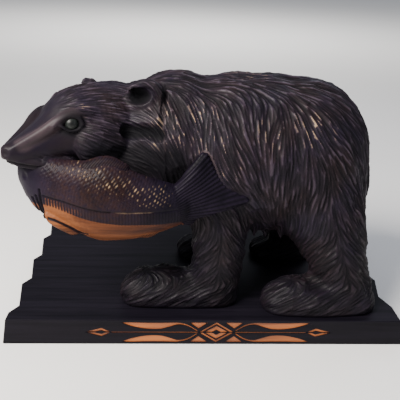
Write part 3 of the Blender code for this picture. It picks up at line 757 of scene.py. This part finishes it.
def thinned(shape, most):
    """Lightens the shape to about most triangles; gives each point's nearest one from before."""
    before = nearest_tree(read_points(shape.data)[0])
    count = sum(len(p.vertices) - 2 for p in shape.data.polygons)
    if count > most:
        modify(shape, "DECIMATE", ratio=most / count)
        applied(shape)
    return [before.find(p)[1] for p in read_points(shape.data)[0]]


def stand_flat(shape):
    """The shape cut level at the ground."""
    bm = bmesh.new()
    bm.from_mesh(shape.data)
    cut_away(bm, (0, 0, 0), (0, 0, -1))
    bm.to_mesh(shape.data)
    bm.free()


def to_frame(shape):
    """From the drawing to metres in the frame."""
    place = Matrix.Translation((0, 0, BEAR_LOW)) @ Matrix.Scale(MILLIMETRE, 4)
    shape.data.transform(place)
    shape.data.shade_smooth()
    return shape


def shaded(points):
    """Painted shade at each point, by how near it is to the fold between the cheek and the salmon and
    to the eyes.
    """
    dark = 0.9 * np.clip(1.8 - to_path(points, np.array(DARK_FOLD, float)) / 13, 0, 1)
    for side in (-1, 1):
        eye = head_path([mirrored(EYE_PLACE, side)])[0]
        gap = np.linalg.norm(points - eye, axis=1)
        dark = np.maximum(dark, 0.8 * np.clip(2.6 - gap / 6, 0, 1))
    return dark


def worn_share(points):
    """How much wear and painted highlight the crests and the nose ridge get at each point."""
    worn = np.clip(1.3 - to_path(points, np.array(head_path(HIGHLIGHT_RIDGE))) / 7, 0, 1)
    for x, y, z, radius in WORN_AND_GLINT_SPOTS:
        gap = np.linalg.norm(points - (x, y, z), axis=1)
        worn = np.maximum(worn, np.clip(1.3 - gap / radius, 0, 1))
    return worn


def furred(mesh, name, voxel, smoothing, seed, part, triangles):
    """A skin round the mesh with its fur cut stroke by stroke, sunk past its own part's border."""
    rng = np.random.default_rng(seed)
    shape = fused(mesh, name, voxel, smoothing)
    fur = Fur(shape.data, part)
    locks = cut_strokes(fur, rng, **LOCKS)[0]
    cut, place, number = cut_strokes(fur, rng, **STROKES)
    height = (MEAN_CUT * LOCKS["depth"] + MEAN_CUT * STROKES["depth"]) * fur.size
    carved = carve_face(fur.points)
    sunk = ramp(fur.ahead, 0, -6) * SINK_DEPTH
    depth = (locks * fur.size + cut - height) * fur.share + carved + sunk
    write_points(shape.data, fur.points - fur.normals * depth[:, None])
    kept = thinned(shape, triangles)
    put_values(
        shape.data,
        cut=(cut / STROKES["depth"])[kept],
        across=place[kept],
        # painted shade: dark in the face's cuts and ear pits, the cheek fold and round the eyes
        hidden=np.clip(carved / 4 + shaded(fur.points), 0, 1)[kept],
        fur=fur.share[kept],
        # wear with painted glints, and the painted highlight of the nose ridge
        worn=worn_share(fur.points)[kept],
        number=number[kept],
    )
    return shape


def halves(shape):
    """The shape as two pieces that meet along its length, with the same number of faces."""
    centres = np.empty(len(shape.data.polygons) * 3)
    shape.data.polygons.foreach_get("center", centres)
    across = centres[1::3]
    far = across >= np.median(across)
    pieces = []
    for name, spare in (("bear_near_side", far), ("bear_far_side", ~far)):
        bm = bmesh.new()
        bm.from_mesh(shape.data)
        faces = [face for face, is_spare in zip(bm.faces, spare) if is_spare]
        bmesh.ops.delete(bm, geom=faces, context="FACES")
        pieces.append(placed(as_mesh(bm, name), name))
    bpy.data.objects.remove(shape)
    return pieces


def bear_skins():
    """The body's two halves and the head, which meet in the fold behind the ears."""
    form = body_form()
    head = furred(head_form(form), "bear_head", HEAD_VOXEL, HEAD_SMOOTHING, 12, 1, MOST_TRIANGLES)
    body = furred(form, "bear_body", SKIN_VOXEL, SKIN_SMOOTHING, 11, -1, 2 * MOST_TRIANGLES)
    stand_flat(body)
    return halves(to_frame(body)) + [to_frame(head)]


# The lines along the salmon's flank, as x and z in drawn millimetres
BELLY_LINE = (
    (-164, 124), (-150, 122.5), (-138, 119.5), (-124, 116.5), (-109, 114), (-87, 111),
    (-49, 110), (-38, 110.5),
)
COMB_LINE = (
    (-164, 133), (-152, 131.5), (-143, 130.5), (-124, 127), (-105, 124.5), (-80, 123),
    (-49, 123), (-30, 124),
)
FIN_LINE = ((-158, 111), (-150, 109.5), (-142, 106.5), (-132, 101.5), (-124, 96))
# Its scales: the pitch of their columns, the pitch in a column, and their half width and height
SCALE_COLUMN = 3.1
SCALE_STEP = 4.2
SCALE_WIDTH = 0.95
SCALE_HEIGHT = 1.7
# The other cuts: where the gills end, the pitch of the comb and of the rays, and a line's width
GILL_END = -163
COMB_PITCH = 2.9
RAY_PITCH = 2.6
LINE_WIDTH = 0.9
SALMON_EYE = (-177, -97, 148)
# Where the scale marks are brighter, cut to the light wood and with painted glints: x, z and the radii
# there
SCALE_GLINT_PATCHES = ((-121, 160, 20, 7), (-91, 149.5, 17, 6), (-56, 136, 14, 8), (-72, 143, 11, 6))


def line_height(line, x):
    """The height of a line of x and z at each x."""
    places, heights = zip(*line)
    return np.interp(x, places, heights)


def scale_cuts(points):
    """Staggered columns of short slanting cuts, and how light each one is."""
    x, _, z = points.T
    waver = 0.7 * np.sin(z / 5.3) + 0.6 * np.sin(x / 7.1 + z / 3.7)
    lean = x - 0.38 * z + waver
    column = np.round(lean / SCALE_COLUMN)
    dx = (lean - column * SCALE_COLUMN) / SCALE_WIDTH
    rise = z - (column % 2) * SCALE_STEP / 2 + waver
    row = np.round(rise / SCALE_STEP)
    dz = (rise - row * SCALE_STEP) / SCALE_HEIGHT
    chance = np.abs(np.sin(column * 12.99 + row * 78.23) * 437.58) % 1
    return np.clip(1 - dx**2 - dz**2, 0, 1), chance


def scale_glint_patches(points):
    """How bright the scale marks are at each point: cuts to light wood, with painted glints."""
    light = np.zeros(len(points))
    for x, z, wide, high in SCALE_GLINT_PATCHES:
        gap = ((points[:, 0] - x) / wide) ** 2 + ((points[:, 2] - z) / high) ** 2
        light = np.maximum(light, np.exp(-gap))
    return light


def fan_cuts(points, x, z, pitch):
    """Cuts that fan out from a point, as close as pitch at 50 mm from it."""
    angle = np.arctan2(points[:, 2] - z, points[:, 0] - x)
    return 0.5 + 0.5 * np.cos(2 * math.pi * angle * 50 / pitch)


def slanted_cuts(points, pitch):
    """Straight slanting cuts over the fins."""
    return 0.5 + 0.5 * np.cos(2 * math.pi * (points[:, 0] - 0.9 * points[:, 2]) / pitch)


def in_fins(points, normals):
    """Whether each point lies on the flat of the back fin or the hind fin."""
    inside = np.zeros(len(points), bool)
    for fin in (SALMON_FINS[0], SALMON_FINS[2]):
        inside |= inside_rows(points, fin, 1.0)
    return inside & (np.abs(normals[:, 1]) > 0.25)


def gill_cuts(points):
    """How deep the edges of the gill cover and the cuts before it are at each point."""
    gills = np.zeros(len(points))
    side_view = points * (1, 0, 1)
    for edge in GILLS:
        path = [(x, 0, z) for x, z in edge]
        gills = np.maximum(gills, groove(side_view, path, 3.0, 1.0))
    return gills


def salmon_skin():
    """The salmon with its scales, fins, gill cuts and eye, and where its wood is left bare."""
    masses = Masses()
    salmon_masses(masses)
    shape = fused(masses.mesh("salmon_skin"), "salmon_skin", SALMON_VOXEL, SALMON_SMOOTHING)
    points, normals = read_points(shape.data)
    x, _, z = points.T
    belly = line_height(BELLY_LINE, x)
    comb_top = line_height(COMB_LINE, x)
    fin_top = line_height(FIN_LINE, x)
    tail = ramp(x + 33 + 0.25 * (z - 122), 0, 3)
    flank = ramp(x, GILL_END, GILL_END + 3) * (1 - tail)
    fins = in_fins(points, normals) * (1 - tail)
    scales, chance = scale_cuts(points)
    scales *= flank * ramp(z - comb_top, 2, 4) * (1 - fins)
    teeth = (0.5 + 0.5 * np.cos(2 * math.pi * x / COMB_PITCH)) ** 1.5
    comb = teeth * flank * (z > belly - 1.5) * (z < comb_top - 1) * (1 - fins)
    side_line = np.exp(-(((z - comb_top) / LINE_WIDTH) ** 2)) * flank
    fin_line = np.exp(-(((z - fin_top) / LINE_WIDTH) ** 2)) * (x > -157) * (x < -118)
    rays = fan_cuts(points, -70, 112, RAY_PITCH) * tail
    hatching = slanted_cuts(points, RAY_PITCH) * fins
    gills = gill_cuts(points)
    depth = 0.5 * scales + 0.4 * comb + 0.9 * side_line + 0.9 * fin_line + 0.9 * rays + 0.5 * hatching
    depth += 1.6 * gills
    depth += dimple(points, SALMON_EYE, 5.0, 1.6) - dimple(points, SALMON_EYE, 2.8, 2.2)
    write_points(shape.data, points - normals * depth[:, None])
    kept = thinned(shape, MOST_TRIANGLES)
    low = ramp(belly - z, 0, 1.2) * ramp(x, GILL_END, GILL_END + 1.5)
    gill_bands = ramp(x, GILL_END, GILL_END - 2) * ramp(z, 125, 121)
    comb_gaps = (1 - comb) * (z > belly - 1) * (z < comb_top - 1) * flank * ramp(x, -95, -145)
    bare = np.maximum(np.maximum(low, 0.6 * gill_bands), 0.6 * comb_gaps) * (1 - tail)
    stained = np.maximum(np.maximum(gills, fin_line), side_line * (x < -95))
    under_fin = np.clip(fin_top - z, 0, 1) * (x < -122)
    bare *= 1 - np.clip(1.5 * stained + 0.55 * under_fin, 0, 1)
    # scale marks cut to light wood, brighter where glints are painted
    light = scales * (0.3 * chance**2 + scale_glint_patches(points) * chance**0.5)
    light_line = side_line * ramp(x, -95, -87) * ramp(x, -52, -60)
    put_values(
        shape.data,
        bare=bare[kept],
        mark=np.maximum(light, 0.4 * light_line)[kept],
        groove=np.clip(0.8 * rays + hatching + 1.2 * stained + 0.25 * comb, 0, 1)[kept],
        toward_tail=ramp(x, -150, -50)[kept],
    )
    return to_frame(shape)


def notched_edge(first, step, depth):
    """The notched edge of the plinth: distance from the front, and how far it lies in."""
    corners = []
    place = first - NOTCH_PITCH
    while place < depth + NOTCH_PITCH:
        corners += [(place, 0.0), (place + step, NOTCH_DEPTH)]
        place += NOTCH_PITCH
    inside = [c for c in corners if first - 0.001 < c[0] < depth - 0.001]
    last = float(np.interp(depth, *zip(*corners)))
    return [(0.0, 0.0), *inside, (depth, last)]


def board():
    """The plinth's board with notched, sloping ends."""
    low, high = PLINTH_LOW, PLINTH_HIGH
    depth = high.y - low.y
    left_side = notched_edge(LEFT_FIRST_NOTCH, LEFT_NOTCH_STEP, depth)
    right_side = notched_edge(RIGHT_FIRST_NOTCH, RIGHT_NOTCH_STEP, depth)
    left = [(low.x + inset, low.y + away) for away, inset in left_side]
    right = [(high.x - inset, low.y + away) for away, inset in right_side]
    outline = right + left[::-1]
    bm = bmesh.new()
    under = [bm.verts.new((x, y, low.z)) for x, y in outline]
    over = []
    for x, y in outline:
        inset = -SIDE_BEVEL if x > 0 else SIDE_BEVEL
        over.append(bm.verts.new((x + inset, y, high.z)))
    bm.faces.new(under[::-1])
    bm.faces.new(over)
    for i in range(len(outline)):
        j = (i + 1) % len(outline)
        bm.faces.new((under[i], under[j], over[j], over[i]))
    bmesh.ops.recalc_face_normals(bm, faces=list(bm.faces))
    return bm


def prism(bm, outline, front, back):
    """A straight prism from an outline of x, z between two depths in y."""
    near = [bm.verts.new((x, front, z)) for x, z in outline]
    far = [bm.verts.new((x, back, z)) for x, z in outline]
    bm.faces.new(near)
    bm.faces.new(far[::-1])
    for i in range(len(outline)):
        j = (i + 1) % len(outline)
        bm.faces.new((near[j], near[i], far[i], far[j]))


def ring(low, peak, high, height, island):
    """A lozenge with a smaller one left standing in it, as an upper and a lower cut."""
    cuts = []
    for rise in (-1, 1):
        gap = RING_GAP * rise
        outer = [(low, gap), (peak, rise * height / 2), (high, gap)]
        inner = [(peak + island * (x - peak), island * z) for x, z in outer[::-1]]
        inner[0] = (inner[0][0], gap)
        inner[-1] = (inner[-1][0], gap)
        cuts.append(outer + inner)
    return cuts


def leaf(side, rise):
    """A leaf along the edge that narrows to a ribbon and runs to the centre."""
    rows = smooth_rows(LEAF, 6)
    outer = [(side * x, rise * (z + thick)) for x, z, thick in rows]
    inner = [(side * x, rise * (z - thick)) for x, z, thick in rows[::-1]]
    return outer + inner


def ornament():
    """The outlines cut in the front face: ribbons with leaves, lines and lozenges."""
    shapes = ring(-CENTRE_LENGTH / 2, 0, CENTRE_LENGTH / 2, CENTRE_HEIGHT, CENTRE_ISLAND)
    shapes += ring(-CORE_LENGTH / 2, 0, CORE_LENGTH / 2, CORE_HEIGHT, CORE_ISLAND)
    for side, reach in ((-1, LEFT_REACH), (1, RIGHT_REACH)):
        for rise in (-1, 1):
            shapes.append(leaf(side, rise))
            shapes.append([(side * x, rise * z) for x, z in WEDGE])
        near = side * (CENTRE_LENGTH / 2 + 0.0015)
        far = side * (reach - RING_GAP)
        half = LINE_HEIGHT / 2
        shapes.append([(near, -half), (far, -half), (far, half), (near, half)])
        peak, tip = side * (reach + TIP_PEAK), side * (reach + TIP_LENGTH)
        shapes += ring(side * reach, peak, tip, TIP_HEIGHT, TIP_ISLAND)
    return shapes


def plinth_board(stain, bare):
    """The board with rounded edges and the ornament cut down to bare wood."""
    made = placed(as_mesh(board(), "plinth_board"), "plinth_board")
    limit = math.radians(12)
    modify(made, "BEVEL", width=EDGE_ROUNDING, segments=2, limit_method="ANGLE", angle_limit=limit)
    applied(made)
    cutter = bmesh.new()
    middle = (PLINTH_LOW.z + PLINTH_HIGH.z) / 2
    for outline in ornament():
        shifted = [(x + ORNAMENT_OFFSET, z + middle) for x, z in outline]
        prism(cutter, shifted, PLINTH_LOW.y - 0.004, PLINTH_LOW.y + CUT_DEPTH)
    bmesh.ops.recalc_face_normals(cutter, faces=list(cutter.faces))
    tool = placed(as_mesh(cutter, "ornament_cutter"), "ornament_cutter")
    modify(made, "BOOLEAN", operation="DIFFERENCE", solver="EXACT", object=tool)
    applied(made)
    bpy.data.objects.remove(tool)
    made.data.materials.clear()
    made.data.materials.append(stain)
    made.data.materials.append(bare)
    for face in made.data.polygons:
        sunk = face.center.y > PLINTH_LOW.y + CUT_DEPTH * 0.9 and face.normal.y < -0.9
        face.material_index = 1 if sunk else 0
    return made


def glass_eye(name, node, facing):
    """A round bead with a dark pupil under its glass."""
    low, high = (Vector(corner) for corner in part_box(node))
    bm = bmesh.new()
    bmesh.ops.create_uvsphere(bm, u_segments=48, v_segments=32, radius=(high.x - low.x) / 2)
    made = placed(as_mesh(bm, name), name)
    made.location = (low + high) / 2
    made.rotation_mode = "QUATERNION"
    made.rotation_quaternion = facing.to_track_quat("Z", "Y")
    made.data.shade_smooth()
    return made


class Nodes:
    """A material's nodes, added and joined by short calls."""

    def __init__(self, name):
        self.material = bpy.data.materials.new(name)
        self.material.use_nodes = True
        self.tree = self.material.node_tree
        self.shader = self.tree.nodes["Principled BSDF"]

    def add(self, kind, inputs=None, **settings):
        made = self.tree.nodes.new("ShaderNode" + kind)
        for key, value in settings.items():
            setattr(made, key, value)
        for key, value in (inputs or {}).items():
            self.put(made.inputs[key], value)
        return made

    def put(self, socket, value):
        if isinstance(value, bpy.types.NodeSocket):
            self.tree.links.new(value, socket)
        else:
            socket.default_value = value

    def value(self, name):
        """A value stored at the points of the mesh."""
        return self.add("Attribute", attribute_name=name).outputs["Fac"]

    def math(self, operation, *values):
        made = self.add("Math", operation=operation)
        for i, value in enumerate(values):
            self.put(made.inputs[i], value)
        return made.outputs[0]

    def times(self, first, second):
        return self.math("MULTIPLY", first, second)

    def plus(self, first, second):
        return self.math("ADD", first, second)

    def clamped(self, value, low, high, start=0.0, end=1.0):
        """The value's range from low to high, spread over start to end."""
        limits = {"Value": value, "From Min": low, "From Max": high, "To Min": start, "To Max": end}
        return self.add("MapRange", limits).outputs[0]

    def mix(self, share, first, second):
        made = self.add("Mix", data_type="RGBA")
        self.put(made.inputs["Factor"], share)
        self.put(made.inputs[6], first)
        self.put(made.inputs[7], second)
        return made.outputs[2]

    def along(self, axis):
        """The place on the piece along one of its axes, in metres."""
        where = self.add("TexCoord").outputs["Object"]
        return self.add("SeparateXYZ", {"Vector": where}).outputs[axis]

    def noise(self, scale, stretch=(1, 1, 1), detail=3.0, rough=0.55):
        """Noise over the piece, stretched along its axes."""
        where = self.add("TexCoord").outputs["Object"]
        place = self.add("Mapping", {"Vector": where, "Scale": stretch}).outputs[0]
        inputs = {"Vector": place, "Scale": scale, "Detail": detail, "Roughness": rough}
        return self.add("TexNoise", inputs).outputs[0]

    def bump(self, height, strength, distance, under=None):
        inputs = {"Height": height, "Strength": strength, "Distance": distance}
        made = self.add("Bump", inputs)
        if under is not None:
            self.put(made.inputs["Normal"], under)
        return made.outputs[0]

    def finish(self, color, rough, normal, **constants):
        self.put(self.shader.inputs["Base Color"], color)
        self.put(self.shader.inputs["Roughness"], rough)
        self.put(self.shader.inputs["Normal"], normal)
        for name, value in constants.items():
            self.shader.inputs[name.replace("_", " ")].default_value = value
        return self.material


# Colours of the stain, from its darkest, also used as painted shade, to its painted highlights and
# glints where it is partly worn off, and of the wood under it
STAIN_BLACK = (0.0010, 0.0008, 0.0018, 1)
STAIN_DARK = (0.0036, 0.0026, 0.0054, 1)
STAIN_BROWN = (0.0150, 0.0082, 0.0098, 1)
STAIN_PURPLE = (0.0118, 0.0078, 0.0165, 1)
STAIN_WARM = (0.0230, 0.0100, 0.0060, 1)
STAIN_CREST_HIGHLIGHT = (0.0370, 0.0270, 0.0380, 1)
STAIN_RUBBED_HIGHLIGHT = (0.0750, 0.0520, 0.0560, 1)
STAIN_WORN_AND_GLINT = (0.300, 0.205, 0.120, 1)
BARE_WOOD = (0.165, 0.056, 0.020, 1)
BARE_WOOD_DARK = (0.070, 0.020, 0.006, 1)
ORNAMENT_WOOD = (0.330, 0.088, 0.012, 1)
ORNAMENT_DARK = (0.150, 0.036, 0.006, 1)
BOARD_DARK = (0.0021, 0.0017, 0.0034, 1)
BOARD_LIGHT = (0.0064, 0.0050, 0.0088, 1)
IRIS_DARK = (0.0060, 0.0075, 0.0070, 1)
IRIS_LIGHT = (0.0140, 0.0170, 0.0155, 1)
PUPIL = (0.0030, 0.0035, 0.0035, 1)
FLOOR_DARK = (0.78, 0.77, 0.76, 1)
FLOOR_LIGHT = (0.82, 0.81, 0.80, 1)


def tool_lines(n, pitch):
    """Fine lines left by the gouge along each cut, as a height from 0 to 1."""
    sway = n.times(n.noise(90, detail=2), 1.6)
    phase = n.times(n.plus(n.value("across"), sway), 2 * math.pi / pitch)
    return n.clamped(n.math("SINE", phase), -1, 1)


def fur_stain():
    """Dark stain over carved fur: painted highlights and some wear on the crests, painted shade in the
    cuts, folds and low parts, and matt in the cuts.
    """
    n = Nodes("bear_stain")
    cut, fur, worn, hidden = n.value("cut"), n.value("fur"), n.value("worn"), n.value("hidden")
    patches = n.noise(30, detail=4)
    specks = n.noise(170)
    lines = tool_lines(n, 1.1)
    tone = n.mix(n.clamped(patches, 0.35, 0.65), STAIN_PURPLE, STAIN_BROWN)
    tone = n.mix(n.clamped(n.value("number"), 0.2, 1.0, 0.0, 0.55), tone, STAIN_DARK)
    smooth = n.math("SUBTRACT", 1.0, fur)
    tone = n.mix(n.times(smooth, 0.6), tone, STAIN_DARK)
    # Painted shade: black in the deeper cuts
    deep = n.times(n.clamped(cut, 0.35, 0.9), fur)
    tone = n.mix(n.times(deep, 0.8), tone, STAIN_BLACK)
    # Painted highlight: lighter crests, weaker low down where the fur lies in shade
    crest_highlight = n.times(n.clamped(cut, 0.40, 0.08), fur)
    height = n.along("Z")
    crest_highlight = n.times(crest_highlight, n.clamped(height, 0.10, 0.24, 0.35, 1.1))
    tone = n.mix(n.times(crest_highlight, n.clamped(patches, 0.36, 0.60, 0.35, 1.0)), tone, STAIN_CREST_HIGHLIGHT)
    # Painted glints on the crests in the spots of wear and glints
    tone = n.mix(n.times(crest_highlight, n.times(worn, 0.55)), tone, STAIN_RUBBED_HIGHLIGHT)
    # Tan specks on the crests in those spots: worn to the wood, partly painted glints
    speckled = n.times(fur, n.clamped(specks, 0.40, 0.54))
    bare = n.times(n.clamped(cut, 0.26, 0.06), speckled)
    tone = n.mix(n.times(bare, n.times(worn, 0.8)), tone, STAIN_WORN_AND_GLINT)
    # Painted highlight along the smooth nose ridge
    smooth_highlight = n.times(worn, smooth)
    tone = n.mix(n.times(smooth_highlight, n.clamped(patches, 0.3, 0.6, 0.5, 1.0)), tone, STAIN_RUBBED_HIGHLIGHT)
    # Painted shade: darker towards the bottom
    tone = n.mix(n.clamped(height, 0.170, 0.085, 0.0, 0.5), tone, STAIN_BLACK)
    # Painted shade in the face's cuts, the ear pits, the cheek fold and round the eyes
    tone = n.mix(hidden, tone, STAIN_BLACK)
    rough = n.plus(n.clamped(patches, 0.3, 0.7, 0.40, 0.50), n.clamped(cut, 0.2, 0.9, 0.0, 0.25))
    rough = n.plus(rough, n.times(hidden, 0.3))
    grain = n.bump(n.noise(500, (0.2, 1, 1)), 0.2, 0.0002)
    fine = n.bump(n.times(lines, deep), 0.5, 0.00012, grain)
    return n.finish(tone, rough, fine, Specular_IOR_Level=0.12)


def salmon_stain():
    """Stain with marks cut through it and painted glints on them, over a belly of bare wood."""
    n = Nodes("salmon_stain")
    bare, mark, groove = n.value("bare"), n.value("mark"), n.value("groove")
    patches = n.noise(38, detail=4)
    specks = n.noise(260)
    streaks = n.noise(75, (0.10, 1, 1.4), 4)
    grain = n.noise(500, (0.10, 1, 1))
    stain = n.mix(n.clamped(patches, 0.30, 0.75), STAIN_DARK, STAIN_PURPLE)
    along = n.along("X")
    middle = n.times(n.clamped(along, -0.168, -0.140), n.clamped(along, -0.050, -0.090))
    warm = n.times(middle, n.clamped(specks, 0.35, 0.65, 0.15, 0.55))
    stain = n.mix(warm, stain, STAIN_WARM)
    # Tan scale marks: cuts to the wood, brighter where glints are painted
    lit = n.times(n.clamped(mark, 0.14, 0.85), n.clamped(specks, 0.38, 0.60, 0.15, 0.85))
    stain = n.mix(lit, stain, STAIN_WORN_AND_GLINT)
    wood = n.mix(n.clamped(streaks, 0.35, 0.62), BARE_WOOD_DARK, BARE_WOOD)
    smoked = n.times(n.value("toward_tail"), n.clamped(streaks, 0.34, 0.66, 1.0, 0.15))
    wood = n.mix(n.times(smoked, 0.9), wood, STAIN_BROWN)
    wood = n.mix(n.times(n.value("toward_tail"), 0.35), wood, STAIN_BROWN)
    edge = n.clamped(n.plus(bare, n.clamped(streaks, 0.3, 0.7, -0.22, 0.22)), 0.35, 0.65)
    tone = n.mix(edge, stain, wood)
    tone = n.mix(n.times(groove, 0.75), tone, STAIN_BLACK)
    rough = n.plus(n.clamped(patches, 0.3, 0.7, 0.38, 0.48), n.times(groove, 0.2))
    return n.finish(tone, rough, n.bump(grain, 0.3, 0.0003), Specular_IOR_Level=0.06)


def board_stain():
    """Near-black stain over straight grain."""
    n = Nodes("plinth_stain")
    patches = n.noise(14, (0.5, 1, 1), 4)
    grain = n.noise(150, (0.05, 1, 1), 5, 0.62)
    pores = n.noise(700, (0.04, 1, 1), 2)
    tone = n.mix(n.clamped(grain, 0.35, 0.7), BOARD_DARK, BOARD_LIGHT)
    rough = n.clamped(patches, 0.3, 0.7, 0.46, 0.58)
    lines = n.bump(grain, 0.35, 0.0004)
    return n.finish(tone, rough, n.bump(pores, 0.25, 0.0002, lines), Specular_IOR_Level=0.09)


def bare_wood():
    """Unstained wood at the bottom of the ornament's cuts."""
    n = Nodes("bare_wood")
    streaks = n.noise(120, (0.08, 1, 1), 4)
    fibres = n.noise(600, (0.06, 1, 1))
    tone = n.mix(n.clamped(streaks, 0.35, 0.65), ORNAMENT_DARK, ORNAMENT_WOOD)
    return n.finish(tone, n.clamped(fibres, 0.3, 0.7, 0.45, 0.6), n.bump(fibres, 0.35, 0.0002))


def eye_glass():
    """Grey-green glass with a small dark pupil seen through it."""
    n = Nodes("eye_glass")
    middle = n.clamped(n.along("Z"), 0.0056, 0.0066)
    cloud = n.noise(300)
    tone = n.mix(middle, n.mix(cloud, IRIS_DARK, IRIS_LIGHT), PUPIL)
    smear = n.clamped(n.noise(160, detail=2), 0.3, 0.7, 0.36, 0.46)
    return n.finish(tone, smear, n.bump(cloud, 0.04, 0.0001), Specular_IOR_Level=0.22)


def pale_floor():
    """A plain pale surface."""
    n = Nodes("pale_floor")
    grain = n.noise(900, detail=2)
    tone = n.mix(n.noise(3), FLOOR_DARK, FLOOR_LIGHT)
    return n.finish(tone, 0.85, n.bump(grain, 0.05, 0.0003))


def dressed(piece, node, material=None):
    """The piece rides on the part and stands for its node."""
    if material:
        piece.data.materials.clear()
        piece.data.materials.append(material)
    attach(piece, "root")
    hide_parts(node)
    return piece


def floor():
    """The pale floor under the plinth."""
    bm = bmesh.new()
    bmesh.ops.create_grid(bm, x_segments=2, y_segments=2, size=9.0)
    made = placed(as_mesh(bm, "floor"), "floor")
    made.location = (0, 0, PLINTH_LOW.z - 0.0004)
    made.data.materials.append(pale_floor())


# Each lamp: name, place, target, size, power and colour
LAMPS = (
    ("key", (-0.75, -0.65, 1.05), (0, 0, 0.12), 0.7, 58, (1.0, 0.95, 0.88)),
    ("fill", (0.9, -0.9, 0.7), (0, 0, 0.1), 0.8, 3, (0.90, 0.92, 1.0)),
    ("back", (0.5, 0.8, 1.1), (0, 0, 0.15), 0.7, 4, (0.80, 0.86, 1.0)),
    ("backdrop", (0, 2.6, 1.9), (0, 4.2, 0), 2.0, 90, (1.0, 0.98, 0.94)),
)


def lights():
    """A soft studio: a warm key light from the left, weak fills and a lit backdrop."""
    world = bpy.data.worlds.new("studio")
    bpy.context.scene.world = world
    world.use_nodes = True
    sky = world.node_tree.nodes["Background"].inputs
    sky["Color"].default_value = (0.88, 0.92, 1.0, 1)
    sky["Strength"].default_value = 0.45
    for name, place, target, size, power, colour in LAMPS:
        data = bpy.data.lights.new(name, "AREA")
        data.shape = "DISK"
        data.size = size
        data.energy = power
        data.color = colour
        lamp = placed(data, name)
        lamp.location = place
        lamp.rotation_mode = "QUATERNION"
        lamp.rotation_quaternion = (Vector(target) - Vector(place)).to_track_quat("-Z", "Y")


# The camera: pitch, yaw and roll in degrees, its place in metres, and its lens in millimetres
CAMERA_TURN = (22.59, 3.40, 2.23)
CAMERA_PLACE = (-0.0409, -0.6065, 0.3676)
CAMERA_LENS = 50.4


def camera():
    """The photograph's view, fitted to the plinth's corners."""
    pitch, yaw, roll = (math.radians(a) for a in CAMERA_TURN)
    turn = Matrix.Rotation(-yaw, 4, "Z") @ Matrix.Rotation(math.pi / 2 - pitch, 4, "X")
    data = bpy.data.cameras.new("view")
    data.sensor_width = 36.0
    data.lens = CAMERA_LENS
    made = placed(data, "view")
    made.matrix_world = Matrix.Translation(CAMERA_PLACE) @ turn @ Matrix.Rotation(roll, 4, "Z")
    bpy.context.scene.camera = made


def main():
    fur = fur_stain()
    for skin in bear_skins():
        dressed(skin, "bear", fur)
    dressed(salmon_skin(), "bear", salmon_stain())
    dressed(plinth_board(board_stain(), bare_wood()), "base")
    glass = eye_glass()
    turn = head_matrix().to_3x3()
    for name, node, side in (("eye_near", "eye_left", 1), ("eye_far", "eye_right", -1)):
        bead = glass_eye(name, node, turn @ mirrored(EYE_FACING, side))
        dressed(bead, node, glass)
    floor()
    lights()
    camera()


main()
